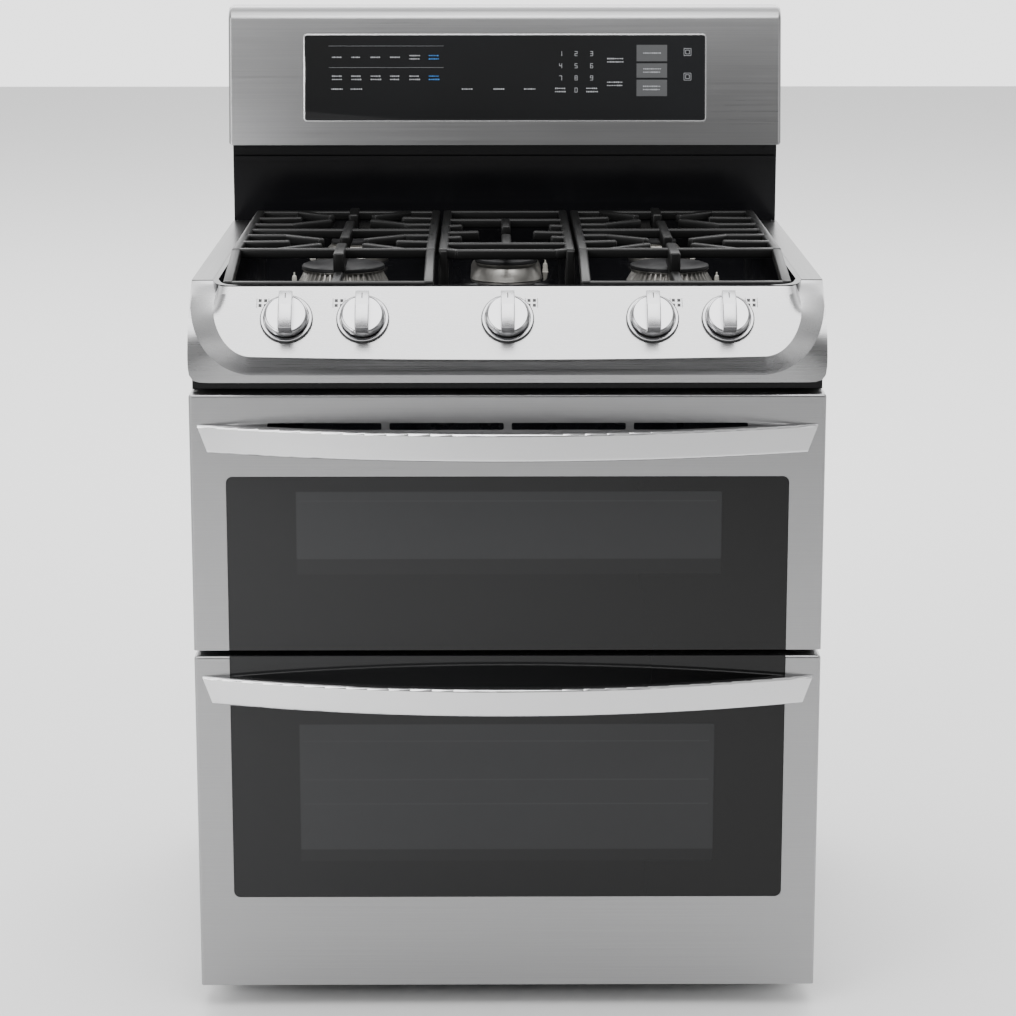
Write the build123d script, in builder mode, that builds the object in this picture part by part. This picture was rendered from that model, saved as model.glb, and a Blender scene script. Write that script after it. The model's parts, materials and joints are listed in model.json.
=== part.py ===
from build123d import *
from math import atan2, cos, degrees, radians, sin, sqrt
import os

os.makedirs("parts", exist_ok=True)

# Freestanding double-oven gas range, millimetres, +Z up, -Y is the front.
# The origin is on the floor, under the middle of the whole object.

# overall sizes
body_width = 759.0
body_depth = 673.0            # doors' front plane to the back of the backguard
handle_reach = 62.0           # how far the bowed handles stand in front of the doors
total_height = 1198.0
cooktop_height = 901.0        # floor to the top of the side trims

# sheet and fit sizes
sheet = 1.5
body_gap = 0.5                # between pieces of different bodies that lie side by side
running = 0.05                # radial clearance of a pin or shaft in its hole
seam = 1.0                    # visible joint between fixed panels

# doors
door_thickness = 45.0
door_gap = 7.4
lower_door_bottom = 29.0
lower_door_height = 422.6
upper_door_height = 314.7
glass_thickness = 4.0
glass_half_width = 336.3
upper_glass_height = 214.6    # from the upper door's bottom edge
lower_glass_bottom = 144.3    # above the floor
handle_height = 33.5
handle_half_width = 370.0
handle_slant = 13.0           # how much shorter the handle is along its bottom edge
handle_thickness = 15.0
handle_drop = 36.0            # top of the handle below the top of the upper door
lower_handle_drop = 24.6      # the same on the lower door
vent_slot_length = 136.0
vent_slot_height = 8.5
vent_slot_pitch = 145.5
vent_slot_drop = 38.7         # slots' middle below the upper door's top edge
window_half_width = 256.0

# door hinges
hinge_depth = 20.0            # pivot behind the doors' front plane
upper_pivot_rise = 30.0       # pivot above the upper door's bottom edge
lower_pivot_rise = 71.0
hinge_spacing = 350.0         # hinge ears, each side of the middle
ear_thickness = 5.0
ear_radius = 8.0
pin_radius = 4.0
cheek_thickness = 3.0
hinge_arm_length = 110.0

# ovens
oven_half_width = 300.0
oven_depth = 500.0
upper_oven_bottom = 540.0
upper_oven_top = 704.0
lower_oven_bottom = 152.0
lower_oven_top = 428.0
oven_wall = 1.2
insulation = 22.0

# control panel, knobs and valves
panel_height = 113.0
cheek_height = 69.0           # of the cheeks' rounding, below the side trims
panel_setback = 70.0          # back edge of the panel, behind the doors' front plane
facet_top_setback = 22.0
crease_reach = 35.0           # the foremost crease, in front of the doors' front plane
crease_drop = 79.0            # the crease below the side trims
facet_half_width = 350.0
facet_corner = 62.0
pad_spread = 107.0            # how far each side of the raised pad flares out
pad_depth = 46.0              # over this depth
knob_places = (-261.0, -171.0, 0.0, 171.0, 260.0)
knob_drop = 36.0              # knobs' middles below the side trims
knob_radius = 26.0
knob_depth = 13.0
grip_width = 16.0
bezel_width = 3.8
bezel_depth = 3.0
stem_radius = 4.0
push_travel = 3.0

# cooktop
pan_half_width = 354.0
pan_depth = 38.0
pan_sheet = 2.0
pan_back = 635.0              # behind the doors' front plane
pan_front_half = 323.0        # straight stretch of the pan's front edge
burner_x = 207.0
front_burner_y = 263.0
rear_burner_y = 502.0
centre_burner_y = 375.0
cap_drop = 13.0               # burner caps' tops below the side trims

# grates
grate_rise = 21.0             # grates' tops above the side trims
bar_width = 12.5
bar_height = 13.0
side_grate_outer = 342.5
side_grate_inner = 88.5
centre_grate_half = 85.0
grate_back = 583.0
grate_front = 66.0
grate_slope_end = 199.0
grate_front_rise = 2.0

# backguard
riser_setback = 635.6
riser_height = 110.0
cover_front_bottom = 589.0
cover_front_top = 614.0
crown_drop = 17.0             # the cover's rounded top edge
display_half_width = 275.6
display_drop = 37.6           # top of the panel glass below the top
display_span = 117.0

# feet and services
foot_inset = 49.5             # feet's middles in from the sides
foot_front = 165.0
foot_rear = 620.0
foot_radius = 19.0
foot_height = 9.0
foot_stem = 5.0
base_bottom = 24.0
inlet_radius = 10.5
inlet_length = 24.0

# places worked out from the sizes above
half = body_width / 2
foot_x = half - foot_inset
front = -(body_depth - handle_reach) / 2
back = front + body_depth
frame_y = front + door_thickness + 3.5
upper_door_bottom = lower_door_bottom + lower_door_height + door_gap
upper_door_top = upper_door_bottom + upper_door_height
lower_door_top = lower_door_bottom + lower_door_height
upper_pivot = upper_door_bottom + upper_pivot_rise
upper_swing = sqrt(upper_pivot_rise**2 + (door_thickness - hinge_depth) ** 2)
lower_pivot = lower_door_bottom + lower_pivot_rise
pivot_y = front + hinge_depth
toe_y = pivot_y + sqrt(lower_pivot_rise**2 + (door_thickness - hinge_depth) ** 2) + 8
channel_y = pivot_y + upper_swing + 3
channel_low, channel_high = upper_pivot - upper_swing - 2, upper_pivot + upper_swing
toe_top = lower_pivot + (door_thickness - hinge_depth) + 3
panel_back = front + panel_setback
panel_top = cooktop_height - seam
panel_bottom = cooktop_height - panel_height
cheek_rise = cooktop_height - cheek_height
crease_height = cooktop_height - crease_drop
knob_height = cooktop_height - knob_drop
pan_floor = cooktop_height - pan_depth
cap_top = cooktop_height - cap_drop
grate_top = cooktop_height + grate_rise
grate_front_top = cooktop_height + grate_front_rise
cover_bottom = cooktop_height + riser_height
cover_shoulder = total_height - crown_drop
display_top = total_height - display_drop
display_bottom = display_top - display_span


def block(low, high, mode=Mode.ADD):
    # a box between two corners, in the open part
    with Locations(tuple((a + b) / 2 for a, b in zip(low, high))):
        Box(*[b - a for a, b in zip(low, high)], mode=mode)


def rod(start, end, radius, mode=Mode.ADD):
    # a round bar from one point to another
    axis = Vector(*end) - Vector(*start)
    with Locations(Plane(origin=start, z_dir=axis.normalized())):
        Cylinder(radius, axis.length, align=(Align.CENTER, Align.CENTER, Align.MIN), mode=mode)


def side_profile(points, x_low, x_high, mode=Mode.ADD):
    # a polygon of (y, z) points, extruded across the width
    with BuildSketch(Plane.YZ.offset(x_low)) as outline:
        with BuildLine():
            Polyline(*points, close=True)
        make_face()
    extrude(outline.sketch, amount=x_high - x_low, mode=mode)


def write(piece, node):
    piece.part.label = node
    export_step(piece.part, f"parts/{node}.step")


# chassis

with BuildPart() as base_frame:
    base_front = toe_y + sheet
    inner = half - sheet - seam
    block((-inner, base_front, base_bottom), (inner, back - sheet, base_bottom + 30))
    block((-inner + sheet, base_front + sheet, base_bottom + sheet),
          (inner - sheet, back - 2 * sheet, base_bottom + 31), Mode.SUBTRACT)
    for y in (front + foot_front, front + foot_rear):
        block((-inner + sheet, y - 16, base_bottom + sheet), (inner - sheet, y + 16, base_bottom + 18))
        for x in (-foot_x, foot_x):
            rod((x, y, base_bottom - 1), (x, y, base_bottom + 40), foot_stem + running, Mode.SUBTRACT)
write(base_frame, "base_frame")

for number, (x, y) in enumerate([(-foot_x, foot_front), (foot_x, foot_front),
                                 (-foot_x, foot_rear), (foot_x, foot_rear)], 1):
    with BuildPart() as foot:
        rod((x, front + y, 0), (x, front + y, foot_height), foot_radius)
        chamfer(foot.edges().group_by(Axis.Z)[-1], 2)
        rod((x, front + y, foot_height), (x, front + y, base_bottom + 36), foot_stem)
    write(foot, f"leveling_foot_{number}")

with BuildPart() as toe_panel:
    # folded sheet behind the lower door's skirt; the front frame is welded to it
    edge = half - sheet - seam
    block((-edge, toe_y, base_bottom), (edge, toe_y + sheet, toe_top + sheet))
    block((-edge, frame_y, toe_top), (edge, toe_y, toe_top + sheet))
    for side in (-1, 1):
        x = side * hinge_spacing
        block((x - ear_thickness / 2 - 1, frame_y - 1, lower_pivot - ear_radius - 1),
              (x + ear_thickness / 2 + 1, toe_y + 5, lower_pivot + ear_radius + 1), Mode.SUBTRACT)

with BuildPart() as side_panels:
    # notched where the upper door's lower corner swings in
    outline = [(toe_y, base_bottom), (toe_y, toe_top), (frame_y, toe_top),
               (frame_y, channel_low + 2), (channel_y, channel_low + 2),
               (channel_y, channel_high - 2), (frame_y, channel_high - 2),
               (frame_y, panel_bottom - seam), (panel_back + seam, panel_bottom - seam),
               (panel_back + seam, cooktop_height - 2 * seam), (back, cooktop_height - 2 * seam),
               (back, base_bottom)]
    side_profile(outline, -half, -half + sheet)
    side_profile(outline, half - sheet, half)
write(side_panels, "side_panels")

with BuildPart() as front_frame:
    add(toe_panel.part)
    edge = half - sheet - seam
    frame_bottom, frame_top = toe_top + sheet, panel_bottom - seam
    block((-edge, frame_y, frame_bottom), (edge, frame_y + 2, frame_top))
    block((-edge, frame_y, channel_low), (edge, channel_y + 2, channel_high))
    block((-edge - 1, frame_y - 1, channel_low + 2), (edge + 1, channel_y, channel_high - 2),
          Mode.SUBTRACT)
    for low, high in ((upper_oven_bottom, upper_oven_top), (lower_oven_bottom, lower_oven_top)):
        block((-oven_half_width, frame_y - 1, low), (oven_half_width, frame_y + 3, high), Mode.SUBTRACT)
    for side in (-1, 1):
        x = side * hinge_spacing
        block((x - ear_thickness / 2 - 1, channel_y - 1, upper_pivot - ear_radius - 1),
              (x + ear_thickness / 2 + 1, channel_y + 5, upper_pivot + ear_radius + 1), Mode.SUBTRACT)
write(front_frame, "front_frame")

with BuildPart() as rear_panel:
    edge = half - sheet - seam
    inlet_x, inlet_z = edge - 120, 110.0
    cord_x = edge - 240
    block((-edge, back - sheet, base_bottom), (edge, back, cooktop_height - 2 * seam - 1))
    rod((inlet_x, back - 10, inlet_z), (inlet_x, back + 10, inlet_z), 34, Mode.SUBTRACT)
    rod((cord_x, back - 10, inlet_z), (cord_x, back + 10, inlet_z), 9, Mode.SUBTRACT)
    with BuildSketch(Plane.XZ.offset(-back - 1)):
        with Locations((0, 560)):
            with GridLocations(edge, 22, 2, 6):
                SlotOverall(120, 8)
    extrude(amount=2 * sheet + 2, mode=Mode.SUBTRACT)
    # the backguard's own cover, above
    block((-half + 6.5, back - 2.9, cover_bottom + 6.5), (half - 6.5, back - 1.4, total_height - 6.5))
    block((-half + 6.5, back - 2.4, cooktop_height), (half - 6.5, back - 0.9, cover_bottom - 0.5))
write(rear_panel, "rear_panels")


def oven_shell(low, high, ledges):
    start = frame_y + 2
    with BuildPart() as shell:
        block((-oven_half_width - oven_wall, start, low - oven_wall),
              (oven_half_width + oven_wall, start + oven_depth, high + oven_wall))
        block((-oven_half_width, start - 1, low),
              (oven_half_width, start + oven_depth - oven_wall, high), Mode.SUBTRACT)
        for z in ledges:
            for side in (-1, 1):
                x_wall, x_in = side * oven_half_width, side * (oven_half_width - 9)
                block((min(x_wall, x_in), start + 12, z - 6),
                      (max(x_wall, x_in), start + oven_depth - oven_wall, z))
    return shell


upper_rack_z = upper_oven_bottom + 34
lower_rack_zs = (lower_oven_bottom + 74, lower_oven_bottom + 164)
fan_y = frame_y + 2 + oven_depth
fan_z = (lower_oven_bottom + lower_oven_top) / 2 + 6

upper_oven_cavity = oven_shell(upper_oven_bottom, upper_oven_top, [upper_rack_z])
write(upper_oven_cavity, "upper_oven_cavity")

lower_oven_cavity = oven_shell(lower_oven_bottom, lower_oven_top, lower_rack_zs)
with lower_oven_cavity:
    rod((0, fan_y - 10, fan_z), (0, fan_y + 10, fan_z), 5, Mode.SUBTRACT)
write(lower_oven_cavity, "lower_oven_cavity")


def blanket(low, high):
    # the wool wrapped round an oven, open at the front
    start = frame_y + 3
    gap = oven_wall + 0.2
    with BuildPart() as wool:
        block((-oven_half_width - gap - insulation, start, low - gap - insulation / 2),
              (oven_half_width + gap + insulation, start + oven_depth + insulation,
               high + gap + insulation))
        block((-oven_half_width - gap, start - 1, low - gap),
              (oven_half_width + gap, start + oven_depth - 0.8, high + gap), Mode.SUBTRACT)
        rod((0, fan_y - 10, fan_z), (0, fan_y + 60, fan_z), 32, Mode.SUBTRACT)
    return wool


upper_insulation = blanket(upper_oven_bottom, upper_oven_top)
with upper_insulation:
    block((-half, frame_y, channel_low), (half, channel_y + 3, channel_high + 1), Mode.SUBTRACT)
lower_insulation = blanket(lower_oven_bottom, lower_oven_top)
with lower_insulation:
    clear = channel_low - 2
    block((-half, frame_y, clear), (half, channel_y + 4, clear + 90), Mode.SUBTRACT)
with BuildPart() as oven_insulation:
    add(upper_insulation.part)
    add(lower_insulation.part)
write(oven_insulation, "oven_insulation")

with BuildPart() as gaskets:
    ring = 8.0
    for low, high in ((upper_oven_bottom, upper_oven_top), (lower_oven_bottom, lower_oven_top)):
        reach = oven_half_width + 4
        block((-reach - ring, frame_y - 3.0, low - 4 - ring), (reach + ring, frame_y, high + 4 + ring))
        block((-reach, frame_y - 4, low - 4), (reach, frame_y + 1, high + 4), Mode.SUBTRACT)
write(gaskets, "oven_gaskets")

with BuildPart() as hinge_receivers:
    for pivot, plate_y in ((upper_pivot, channel_y + 2), (lower_pivot, toe_y + sheet)):
        for side in (-1, 1):
            x = side * hinge_spacing
            block((x - ear_thickness / 2, pivot_y, pivot - ear_radius),
                  (x + ear_thickness / 2, plate_y + 3, pivot + ear_radius))
            rod((x - ear_thickness / 2, pivot_y, pivot), (x + ear_thickness / 2, pivot_y, pivot),
                ear_radius)
            pin = ear_thickness / 2 + 1 + cheek_thickness
            rod((x - pin, pivot_y, pivot), (x + pin, pivot_y, pivot), pin_radius)
            block((x - 14, plate_y, pivot - 20), (x + 14, plate_y + 3, pivot + 20))
write(hinge_receivers, "hinge_receivers")


# doors

def door_skin(low, high, glass_low, glass_high, corners_up, pivot):
    # the steel front: a tray open at the back, cut away for the glass and the hinge ears
    with BuildPart() as skin:
        block((-half, front, low), (half, front + door_thickness - 3.2, high))
        fillet(skin.edges().filter_by(Axis.Z).group_by(Axis.Y)[0], 3.5)
        fillet(skin.faces().sort_by(Axis.Y)[0].edges().filter_by(Axis.X).sort_by(Axis.Z)[-1], 3.5)
        block((-half + sheet, front + sheet, low + sheet),
              (half - sheet, front + door_thickness, high - sheet), Mode.SUBTRACT)
        with BuildSketch(Plane.XZ.offset(-front - glass_thickness - 0.4)) as opening:
            with Locations((0, (glass_low + glass_high) / 2)):
                Rectangle(2 * glass_half_width + 1, glass_high - glass_low + 1)
            fillet(opening.vertices().group_by(Axis.Y)[-1 if corners_up else 0], 8)
        extrude(amount=glass_thickness + 5, mode=Mode.SUBTRACT)
        ear_slots(low, pivot)
    return skin


def ear_slots(low, pivot):
    # room for the fixed hinge ears to swing through the door's lower back edge
    for side in (-1, 1):
        x = side * hinge_spacing
        reach = ear_thickness / 2 + 1
        block((x - reach, pivot_y - ear_radius - 2, low - 2),
              (x + reach, front + door_thickness + 2, pivot + ear_radius + 2), Mode.SUBTRACT)


def door_glass(low, high, corners_up):
    with BuildPart() as glass:
        with BuildSketch(Plane.XZ.offset(-front - glass_thickness)) as pane:
            with Locations((0, (low + high) / 2)):
                Rectangle(2 * glass_half_width, high - low)
            fillet(pane.vertices().group_by(Axis.Y)[-1 if corners_up else 0], 7.5)
        extrude(amount=glass_thickness)
    return glass


def door_liner(low, high, window_low, window_high, pivot):
    # back plate with the window opening and the frame that carries the inner glass
    plate_y = front + door_thickness - 3.0
    with BuildPart() as liner:
        block((-half + 2, plate_y, low + 2), (half - 2, front + door_thickness, high - 2))
        block((-window_half_width - 24, plate_y - 14, window_low - 24),
              (window_half_width + 24, plate_y, window_high + 24))
        block((-window_half_width - 22.5, plate_y - 15, window_low - 22.5),
              (window_half_width + 22.5, plate_y, window_high + 22.5), Mode.SUBTRACT)
        block((-window_half_width, plate_y - 1, window_low),
              (window_half_width, front + door_thickness + 1, window_high), Mode.SUBTRACT)
        ear_slots(low, pivot)
    return liner


def inner_glass(window_low, window_high):
    plate_y = front + door_thickness - 3.0
    with BuildPart() as glass:
        block((-window_half_width - 20, plate_y - glass_thickness, window_low - 20),
              (window_half_width + 20, plate_y, window_high + 20))
    return glass


def hinge_arms(pivot):
    # one bracket each side: two cheeks on the pin, joined along the door's front
    with BuildPart() as arms:
        for side in (-1, 1):
            x = side * hinge_spacing
            reach = ear_thickness / 2 + 1 + cheek_thickness
            web_y = front + 3
            block((x - reach, web_y, pivot - 9), (x + reach, front + 36, pivot + hinge_arm_length))
            block((x - reach + cheek_thickness, web_y + 3, pivot - 10),
                  (x + reach - cheek_thickness, front + 40, pivot + hinge_arm_length + 1),
                  Mode.SUBTRACT)
            block((x - reach - 1, front + 28, pivot - 10), (x + reach + 1, front + 37, pivot - 4),
                  Mode.SUBTRACT)
            rod((x - 20, pivot_y, pivot), (x + 20, pivot_y, pivot), pin_radius + running, Mode.SUBTRACT)
    return arms


def bowed_handle(top):
    # a flat bar bowed outwards, its ends resting on the door
    low = top - handle_height
    outer_sag, inner_sag = handle_reach, handle_reach - handle_thickness
    inner_half = handle_half_width - 42
    with BuildPart() as handle:
        with BuildSketch(Plane.XY.offset(low)):
            with BuildLine():
                ThreePointArc((-handle_half_width, front - 3), (0, front - outer_sag),
                              (handle_half_width, front - 3))
                Line((handle_half_width, front - 3), (handle_half_width, front))
                Line((handle_half_width, front), (inner_half, front))
                ThreePointArc((inner_half, front), (0, front - inner_sag), (-inner_half, front))
                Line((-inner_half, front), (-handle_half_width, front))
                Line((-handle_half_width, front), (-handle_half_width, front - 3))
            make_face()
        extrude(amount=handle_height)
        for side in (-1, 1):
            x = side * handle_half_width
            with BuildSketch(Plane.XZ.offset(-front - 1)):
                with BuildLine():
                    Polyline((x, top), (x + side, top), (x + side, low - 1),
                             (x - side * (handle_slant + 0.4), low - 1), close=True)
                make_face()
            extrude(amount=handle_reach + 5, mode=Mode.SUBTRACT)
        bow = handle.edges().filter_by(GeomType.CIRCLE).filter_by(lambda e: e.radius > 300)
        fillet(bow, 3)
    return handle


upper_window = (upper_oven_bottom + 28, 658.0)
lower_window = (203.0, 368.0)

upper_door_skin = door_skin(upper_door_bottom, upper_door_top, upper_door_bottom - 4,
                            upper_door_bottom + upper_glass_height, True, upper_pivot)
with upper_door_skin:
    with BuildSketch(Plane.XZ.offset(-front - 3)) as slots:
        with Locations((0, upper_door_top - vent_slot_drop)):
            with GridLocations(vent_slot_pitch, 1, 4, 1):
                RectangleRounded(vent_slot_length, vent_slot_height, 2)
    extrude(slots.sketch, amount=5, mode=Mode.SUBTRACT)
write(upper_door_skin, "upper_door_skin")
lower_door_skin = door_skin(lower_door_bottom, lower_door_top, lower_glass_bottom,
                            lower_door_top + 4, False, lower_pivot)
write(lower_door_skin, "lower_door_skin")

upper_outer_glass = door_glass(upper_door_bottom, upper_door_bottom + upper_glass_height, True)
write(upper_outer_glass, "upper_door_outer_glass")
lower_outer_glass = door_glass(lower_glass_bottom, lower_door_top, False)
write(lower_outer_glass, "lower_door_outer_glass")

upper_liner = door_liner(upper_door_bottom, upper_door_top, *upper_window, upper_pivot)
write(upper_liner, "upper_door_liner")
lower_liner = door_liner(lower_door_bottom, lower_door_top, *lower_window, lower_pivot)
write(lower_liner, "lower_door_liner")

upper_inner_glass = inner_glass(*upper_window)
write(upper_inner_glass, "upper_door_inner_glass")
lower_inner_glass = inner_glass(*lower_window)
write(lower_inner_glass, "lower_door_inner_glass")

upper_hinge_arms = hinge_arms(upper_pivot)
write(upper_hinge_arms, "upper_door_hinge_arms")
lower_hinge_arms = hinge_arms(lower_pivot)
write(lower_hinge_arms, "lower_door_hinge_arms")

upper_handle = bowed_handle(upper_door_top - handle_drop)
write(upper_handle, "upper_door_handle")
lower_handle = bowed_handle(lower_door_top - lower_handle_drop)
write(lower_handle, "lower_door_handle")

with BuildPart() as vent_trim:
    low, high = upper_door_top + 3, panel_bottom - 0.6
    edge = half - 3
    block((-edge, front + 22, low), (edge, frame_y, high))
    block((-edge - 1, front + 22 + sheet, low - 1), (edge + 1, frame_y - sheet, high - sheet),
          Mode.SUBTRACT)
    for x in (-325.0, -127.0, 173.0, 325.0):
        rod((x, front + 22, (low + high) / 2), (x, front + 20, (low + high) / 2), 3)
write(vent_trim, "vent_trim")


# control panel, knobs and valves

facet_top = Vector(0, front + facet_top_setback, panel_top)
crease = Vector(0, front - crease_reach, crease_height)
facet_up = (facet_top - crease).normalized()
facet_out = Vector(1, 0, 0).cross(facet_up)
facet_length = (facet_top - crease).length
facet_plane = Plane(origin=facet_top, x_dir=(1, 0, 0), z_dir=facet_out)


def panel_form(inset):
    # rounded cheeks with the raised sloping pad; inset makes the same form, thinner all round
    with BuildPart() as form:
        bottom, top = panel_bottom + inset, panel_top - inset
        with BuildSketch(Plane.YZ.offset(-half + inset)):
            with BuildLine():
                Line((panel_back, bottom), (front + inset, bottom))
                Line((front + inset, bottom), (front + inset, cheek_rise))
                bulge = panel_setback - inset
                ThreePointArc((front + inset, cheek_rise),
                              (panel_back - bulge * cos(radians(45)),
                               cheek_rise + (top - cheek_rise) * sin(radians(45))),
                              (panel_back, top))
                Line((panel_back, top), (panel_back, bottom))
            make_face()
        extrude(amount=body_width - 2 * inset)
        pad_plane = facet_plane.offset(-inset)
        with BuildSketch(pad_plane):
            with Locations((0, (-facet_length + 70) / 2)):
                RectangleRounded(2 * (facet_half_width - inset), facet_length + 70, facet_corner)
        with BuildSketch(pad_plane.offset(-pad_depth)):
            with Locations((0, (-facet_length + 70) / 2)):
                RectangleRounded(2 * (facet_half_width + pad_spread - inset), facet_length + 70,
                                 facet_corner + 18)
        loft()
        for side in (-1, 1):
            low_x, high_x = sorted((side * (half - inset), side * (half + 2 * pad_spread)))
            block((low_x, front - 100, bottom - 200), (high_x, back, top + 200), Mode.SUBTRACT)
        block((-half - 5, front - 100, top), (half + 5, back, top + 200), Mode.SUBTRACT)
        block((-half - 5, front - 100, bottom - 200), (half + 5, back, bottom), Mode.SUBTRACT)
        block((-half - 5, panel_back, bottom - 200), (half + 5, back, top + 200), Mode.SUBTRACT)
    return form


outer_form = panel_form(0)
inner_form = panel_form(sheet)


def knob_point(x, out):
    # a point on a knob's axis, so far out of the sloping face
    along = (panel_top - knob_height) / facet_up.Z
    return facet_top - facet_up * along + Vector(x, 0, 0) + facet_out * out


def pan_outline(inset):
    # plan of the cooktop: square back, front edge swept forward between two S curves
    side, rear = pan_half_width - inset, front + pan_back - inset
    shoulder, lip = panel_back + inset + 1, front + facet_top_setback + inset + 1.5
    straight = pan_front_half - inset
    with BuildLine() as line:
        Polyline((-side, shoulder), (-side, rear), (side, rear), (side, shoulder))
        for way in (1, -1):
            Spline((way * side, shoulder), (way * straight, lip), tangents=((-way * 0.25, -1), (-way, 0)))
        Line((straight, lip), (-straight, lip))
    return line


def pan_block(inset, low, high):
    line = pan_outline(inset)
    with BuildPart() as solid:
        with BuildSketch(Plane.XY.offset(low)) as face:
            add(line.line)
            make_face()
        extrude(face.sketch, amount=high - low)
    return solid.part


with BuildPart() as control_panel:
    add(outer_form.part)
    add(inner_form.part, mode=Mode.SUBTRACT)
    block((-half + sheet, panel_back - 5, panel_bottom + sheet),
          (half - sheet, panel_back + 5, panel_top - sheet), Mode.SUBTRACT)
    add(pan_block(-seam, pan_floor - 8, cooktop_height + 5), mode=Mode.SUBTRACT)
    for x in knob_places:
        rod(knob_point(x, -20), knob_point(x, 20), 9, Mode.SUBTRACT)
write(control_panel, "control_panel")


def axis_plane(x, out):
    return Plane(origin=knob_point(x, out), x_dir=(1, 0, 0), z_dir=facet_out)


with BuildPart() as knob_bezels:
    for x in knob_places:
        with BuildSketch(axis_plane(x, 0.05)):
            Circle(knob_radius + body_gap + bezel_width)
            Circle(knob_radius + body_gap, mode=Mode.SUBTRACT)
        extrude(amount=bezel_depth)
write(knob_bezels, "knob_bezels")

knob_start = push_travel + 1.2
for number, x in enumerate(knob_places, 1):
    with BuildPart() as stem:
        rod(knob_point(x, -40), knob_point(x, knob_start + 7), stem_radius)
    write(stem, f"valve_stem_{number}")
    with BuildPart() as knob:
        with BuildSketch(axis_plane(x, knob_start)):
            Circle(knob_radius)
        extrude(amount=knob_depth - knob_start)
        chamfer(knob.edges().filter_by(GeomType.CIRCLE).sort_by(Axis((0, 0, 0), facet_out))[-1], 2)
        grip_reach = knob_radius - 0.5
        grip_plane = Plane(origin=knob_point(x - grip_width / 2, 0), x_dir=facet_up, z_dir=(1, 0, 0))
        with BuildSketch(grip_plane):
            with BuildLine():
                Polyline((-grip_reach, knob_depth - 4), (-grip_reach, knob_depth + 17),
                         (grip_reach, knob_depth + 7), (grip_reach, knob_depth - 4), close=True)
            make_face()
        extrude(amount=grip_width)
        rod(knob_point(x, knob_start - 1), knob_point(x, knob_start + 8 + push_travel),
            stem_radius + running, Mode.SUBTRACT)
    write(knob, f"knob_{number}")

pipe_y, pipe_z = front + 44, cooktop_height - 63

with BuildPart() as gas_valves:
    # one block a knob, on the pipe, drilled for its stem
    for x in knob_places:
        with BuildSketch(axis_plane(x, -50)):
            Rectangle(26, 26)
        extrude(amount=24)
        rod(knob_point(x, -60), knob_point(x, -20), stem_radius + running, Mode.SUBTRACT)
    rod((-310, pipe_y, pipe_z), (340, pipe_y, pipe_z), 8.05, Mode.SUBTRACT)
write(gas_valves, "gas_valves")


# cooktop

burners = {
    "front_left": (-burner_x, front_burner_y, 53.0, 51.0),
    "front_right": (burner_x, front_burner_y, 51.0, 49.0),
    "rear_left": (-burner_x, rear_burner_y, 46.0, 29.0),
    "rear_right": (burner_x, rear_burner_y, 39.0, 24.0),
    "centre": (0.0, centre_burner_y, 44.0, 40.0),
}
centre_stretch = 110.0        # straight length between the centre burner's round ends
cap_thickness = 7.0
throat_radius = 16.0

with BuildPart() as cooktop_pan:
    add(pan_block(0, pan_floor - pan_sheet, cooktop_height))
    add(pan_block(pan_sheet + 4, pan_floor, cooktop_height + 1), mode=Mode.SUBTRACT)
    for x, y, head_radius, cap_radius in burners.values():
        rod((x, front + y, pan_floor - 5), (x, front + y, pan_floor + 5), throat_radius, Mode.SUBTRACT)
write(cooktop_pan, "cooktop_pan")

with BuildPart() as cooktop_trims:
    for side in (-1, 1):
        x_low, x_high = sorted((side * (pan_half_width + 0.3), side * half))
        block((x_low, panel_back + seam, cooktop_height - sheet),
              (x_high, front + pan_back, cooktop_height))
write(cooktop_trims, "cooktop_side_trims")


def round_or_oval(place, radius, stretch, low, high, mode=Mode.ADD):
    x, y = place
    with BuildSketch(Plane.XY.offset(low)) as shape:
        with Locations((x, front + y)):
            if stretch:
                SlotCenterToCenter(stretch, 2 * radius, rotation=90)
            else:
                Circle(radius)
    extrude(shape.sketch, amount=high - low, mode=mode)


cap_low = cap_top - cap_thickness

with BuildPart() as burner_heads:
    for place, (x, y, head_radius, cap_radius) in burners.items():
        stretch = centre_stretch if place == "centre" else 0
        round_or_oval((x, y), head_radius, stretch, pan_floor, pan_floor + 5)
        round_or_oval((x, y), cap_radius - 3, stretch, pan_floor + 5, cap_low)
        round_or_oval((x, y), cap_radius - 10, stretch, pan_floor + 8, cap_low + 1, Mode.SUBTRACT)
        rod((x, front + y, pan_floor - 28), (x, front + y, pan_floor + 1), throat_radius - 0.5)
        rod((x, front + y, pan_floor - 29), (x, front + y, pan_floor + 9), 9, Mode.SUBTRACT)
write(burner_heads, "burner_heads")

with BuildPart() as burner_caps:
    for place, (x, y, head_radius, cap_radius) in burners.items():
        stretch = centre_stretch if place == "centre" else 0
        round_or_oval((x, y), cap_radius, stretch, cap_low, cap_top)
    chamfer(burner_caps.edges().group_by(Axis.Z)[-1], 1.5)
write(burner_caps, "burner_caps")

with BuildPart() as igniters:
    for x, y, head_radius, cap_radius in burners.values():
        turn = 1 if x >= 0 else -1
        at_x = x + turn * (head_radius + 5)
        rod((at_x, front + y, pan_floor + 0.1), (at_x, front + y, pan_floor + 14), 3.5)
        rod((at_x, front + y, pan_floor + 14), (at_x, front + y, pan_floor + 19), 1.2)
write(igniters, "igniters")

with BuildPart() as burner_tubes:
    # venturi tubes from each valve to under its burner
    for x, (bx, by, head_radius, cap_radius) in zip(knob_places, (
            burners["front_left"], burners["rear_left"], burners["centre"],
            burners["rear_right"], burners["front_right"])):
        low = pan_floor - 36
        rod((x, front + 62, low), (bx, front + by, low), 6)
        rod((bx, front + by, low - 8), (bx, front + by, low + 8), 12)


# grates

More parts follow.
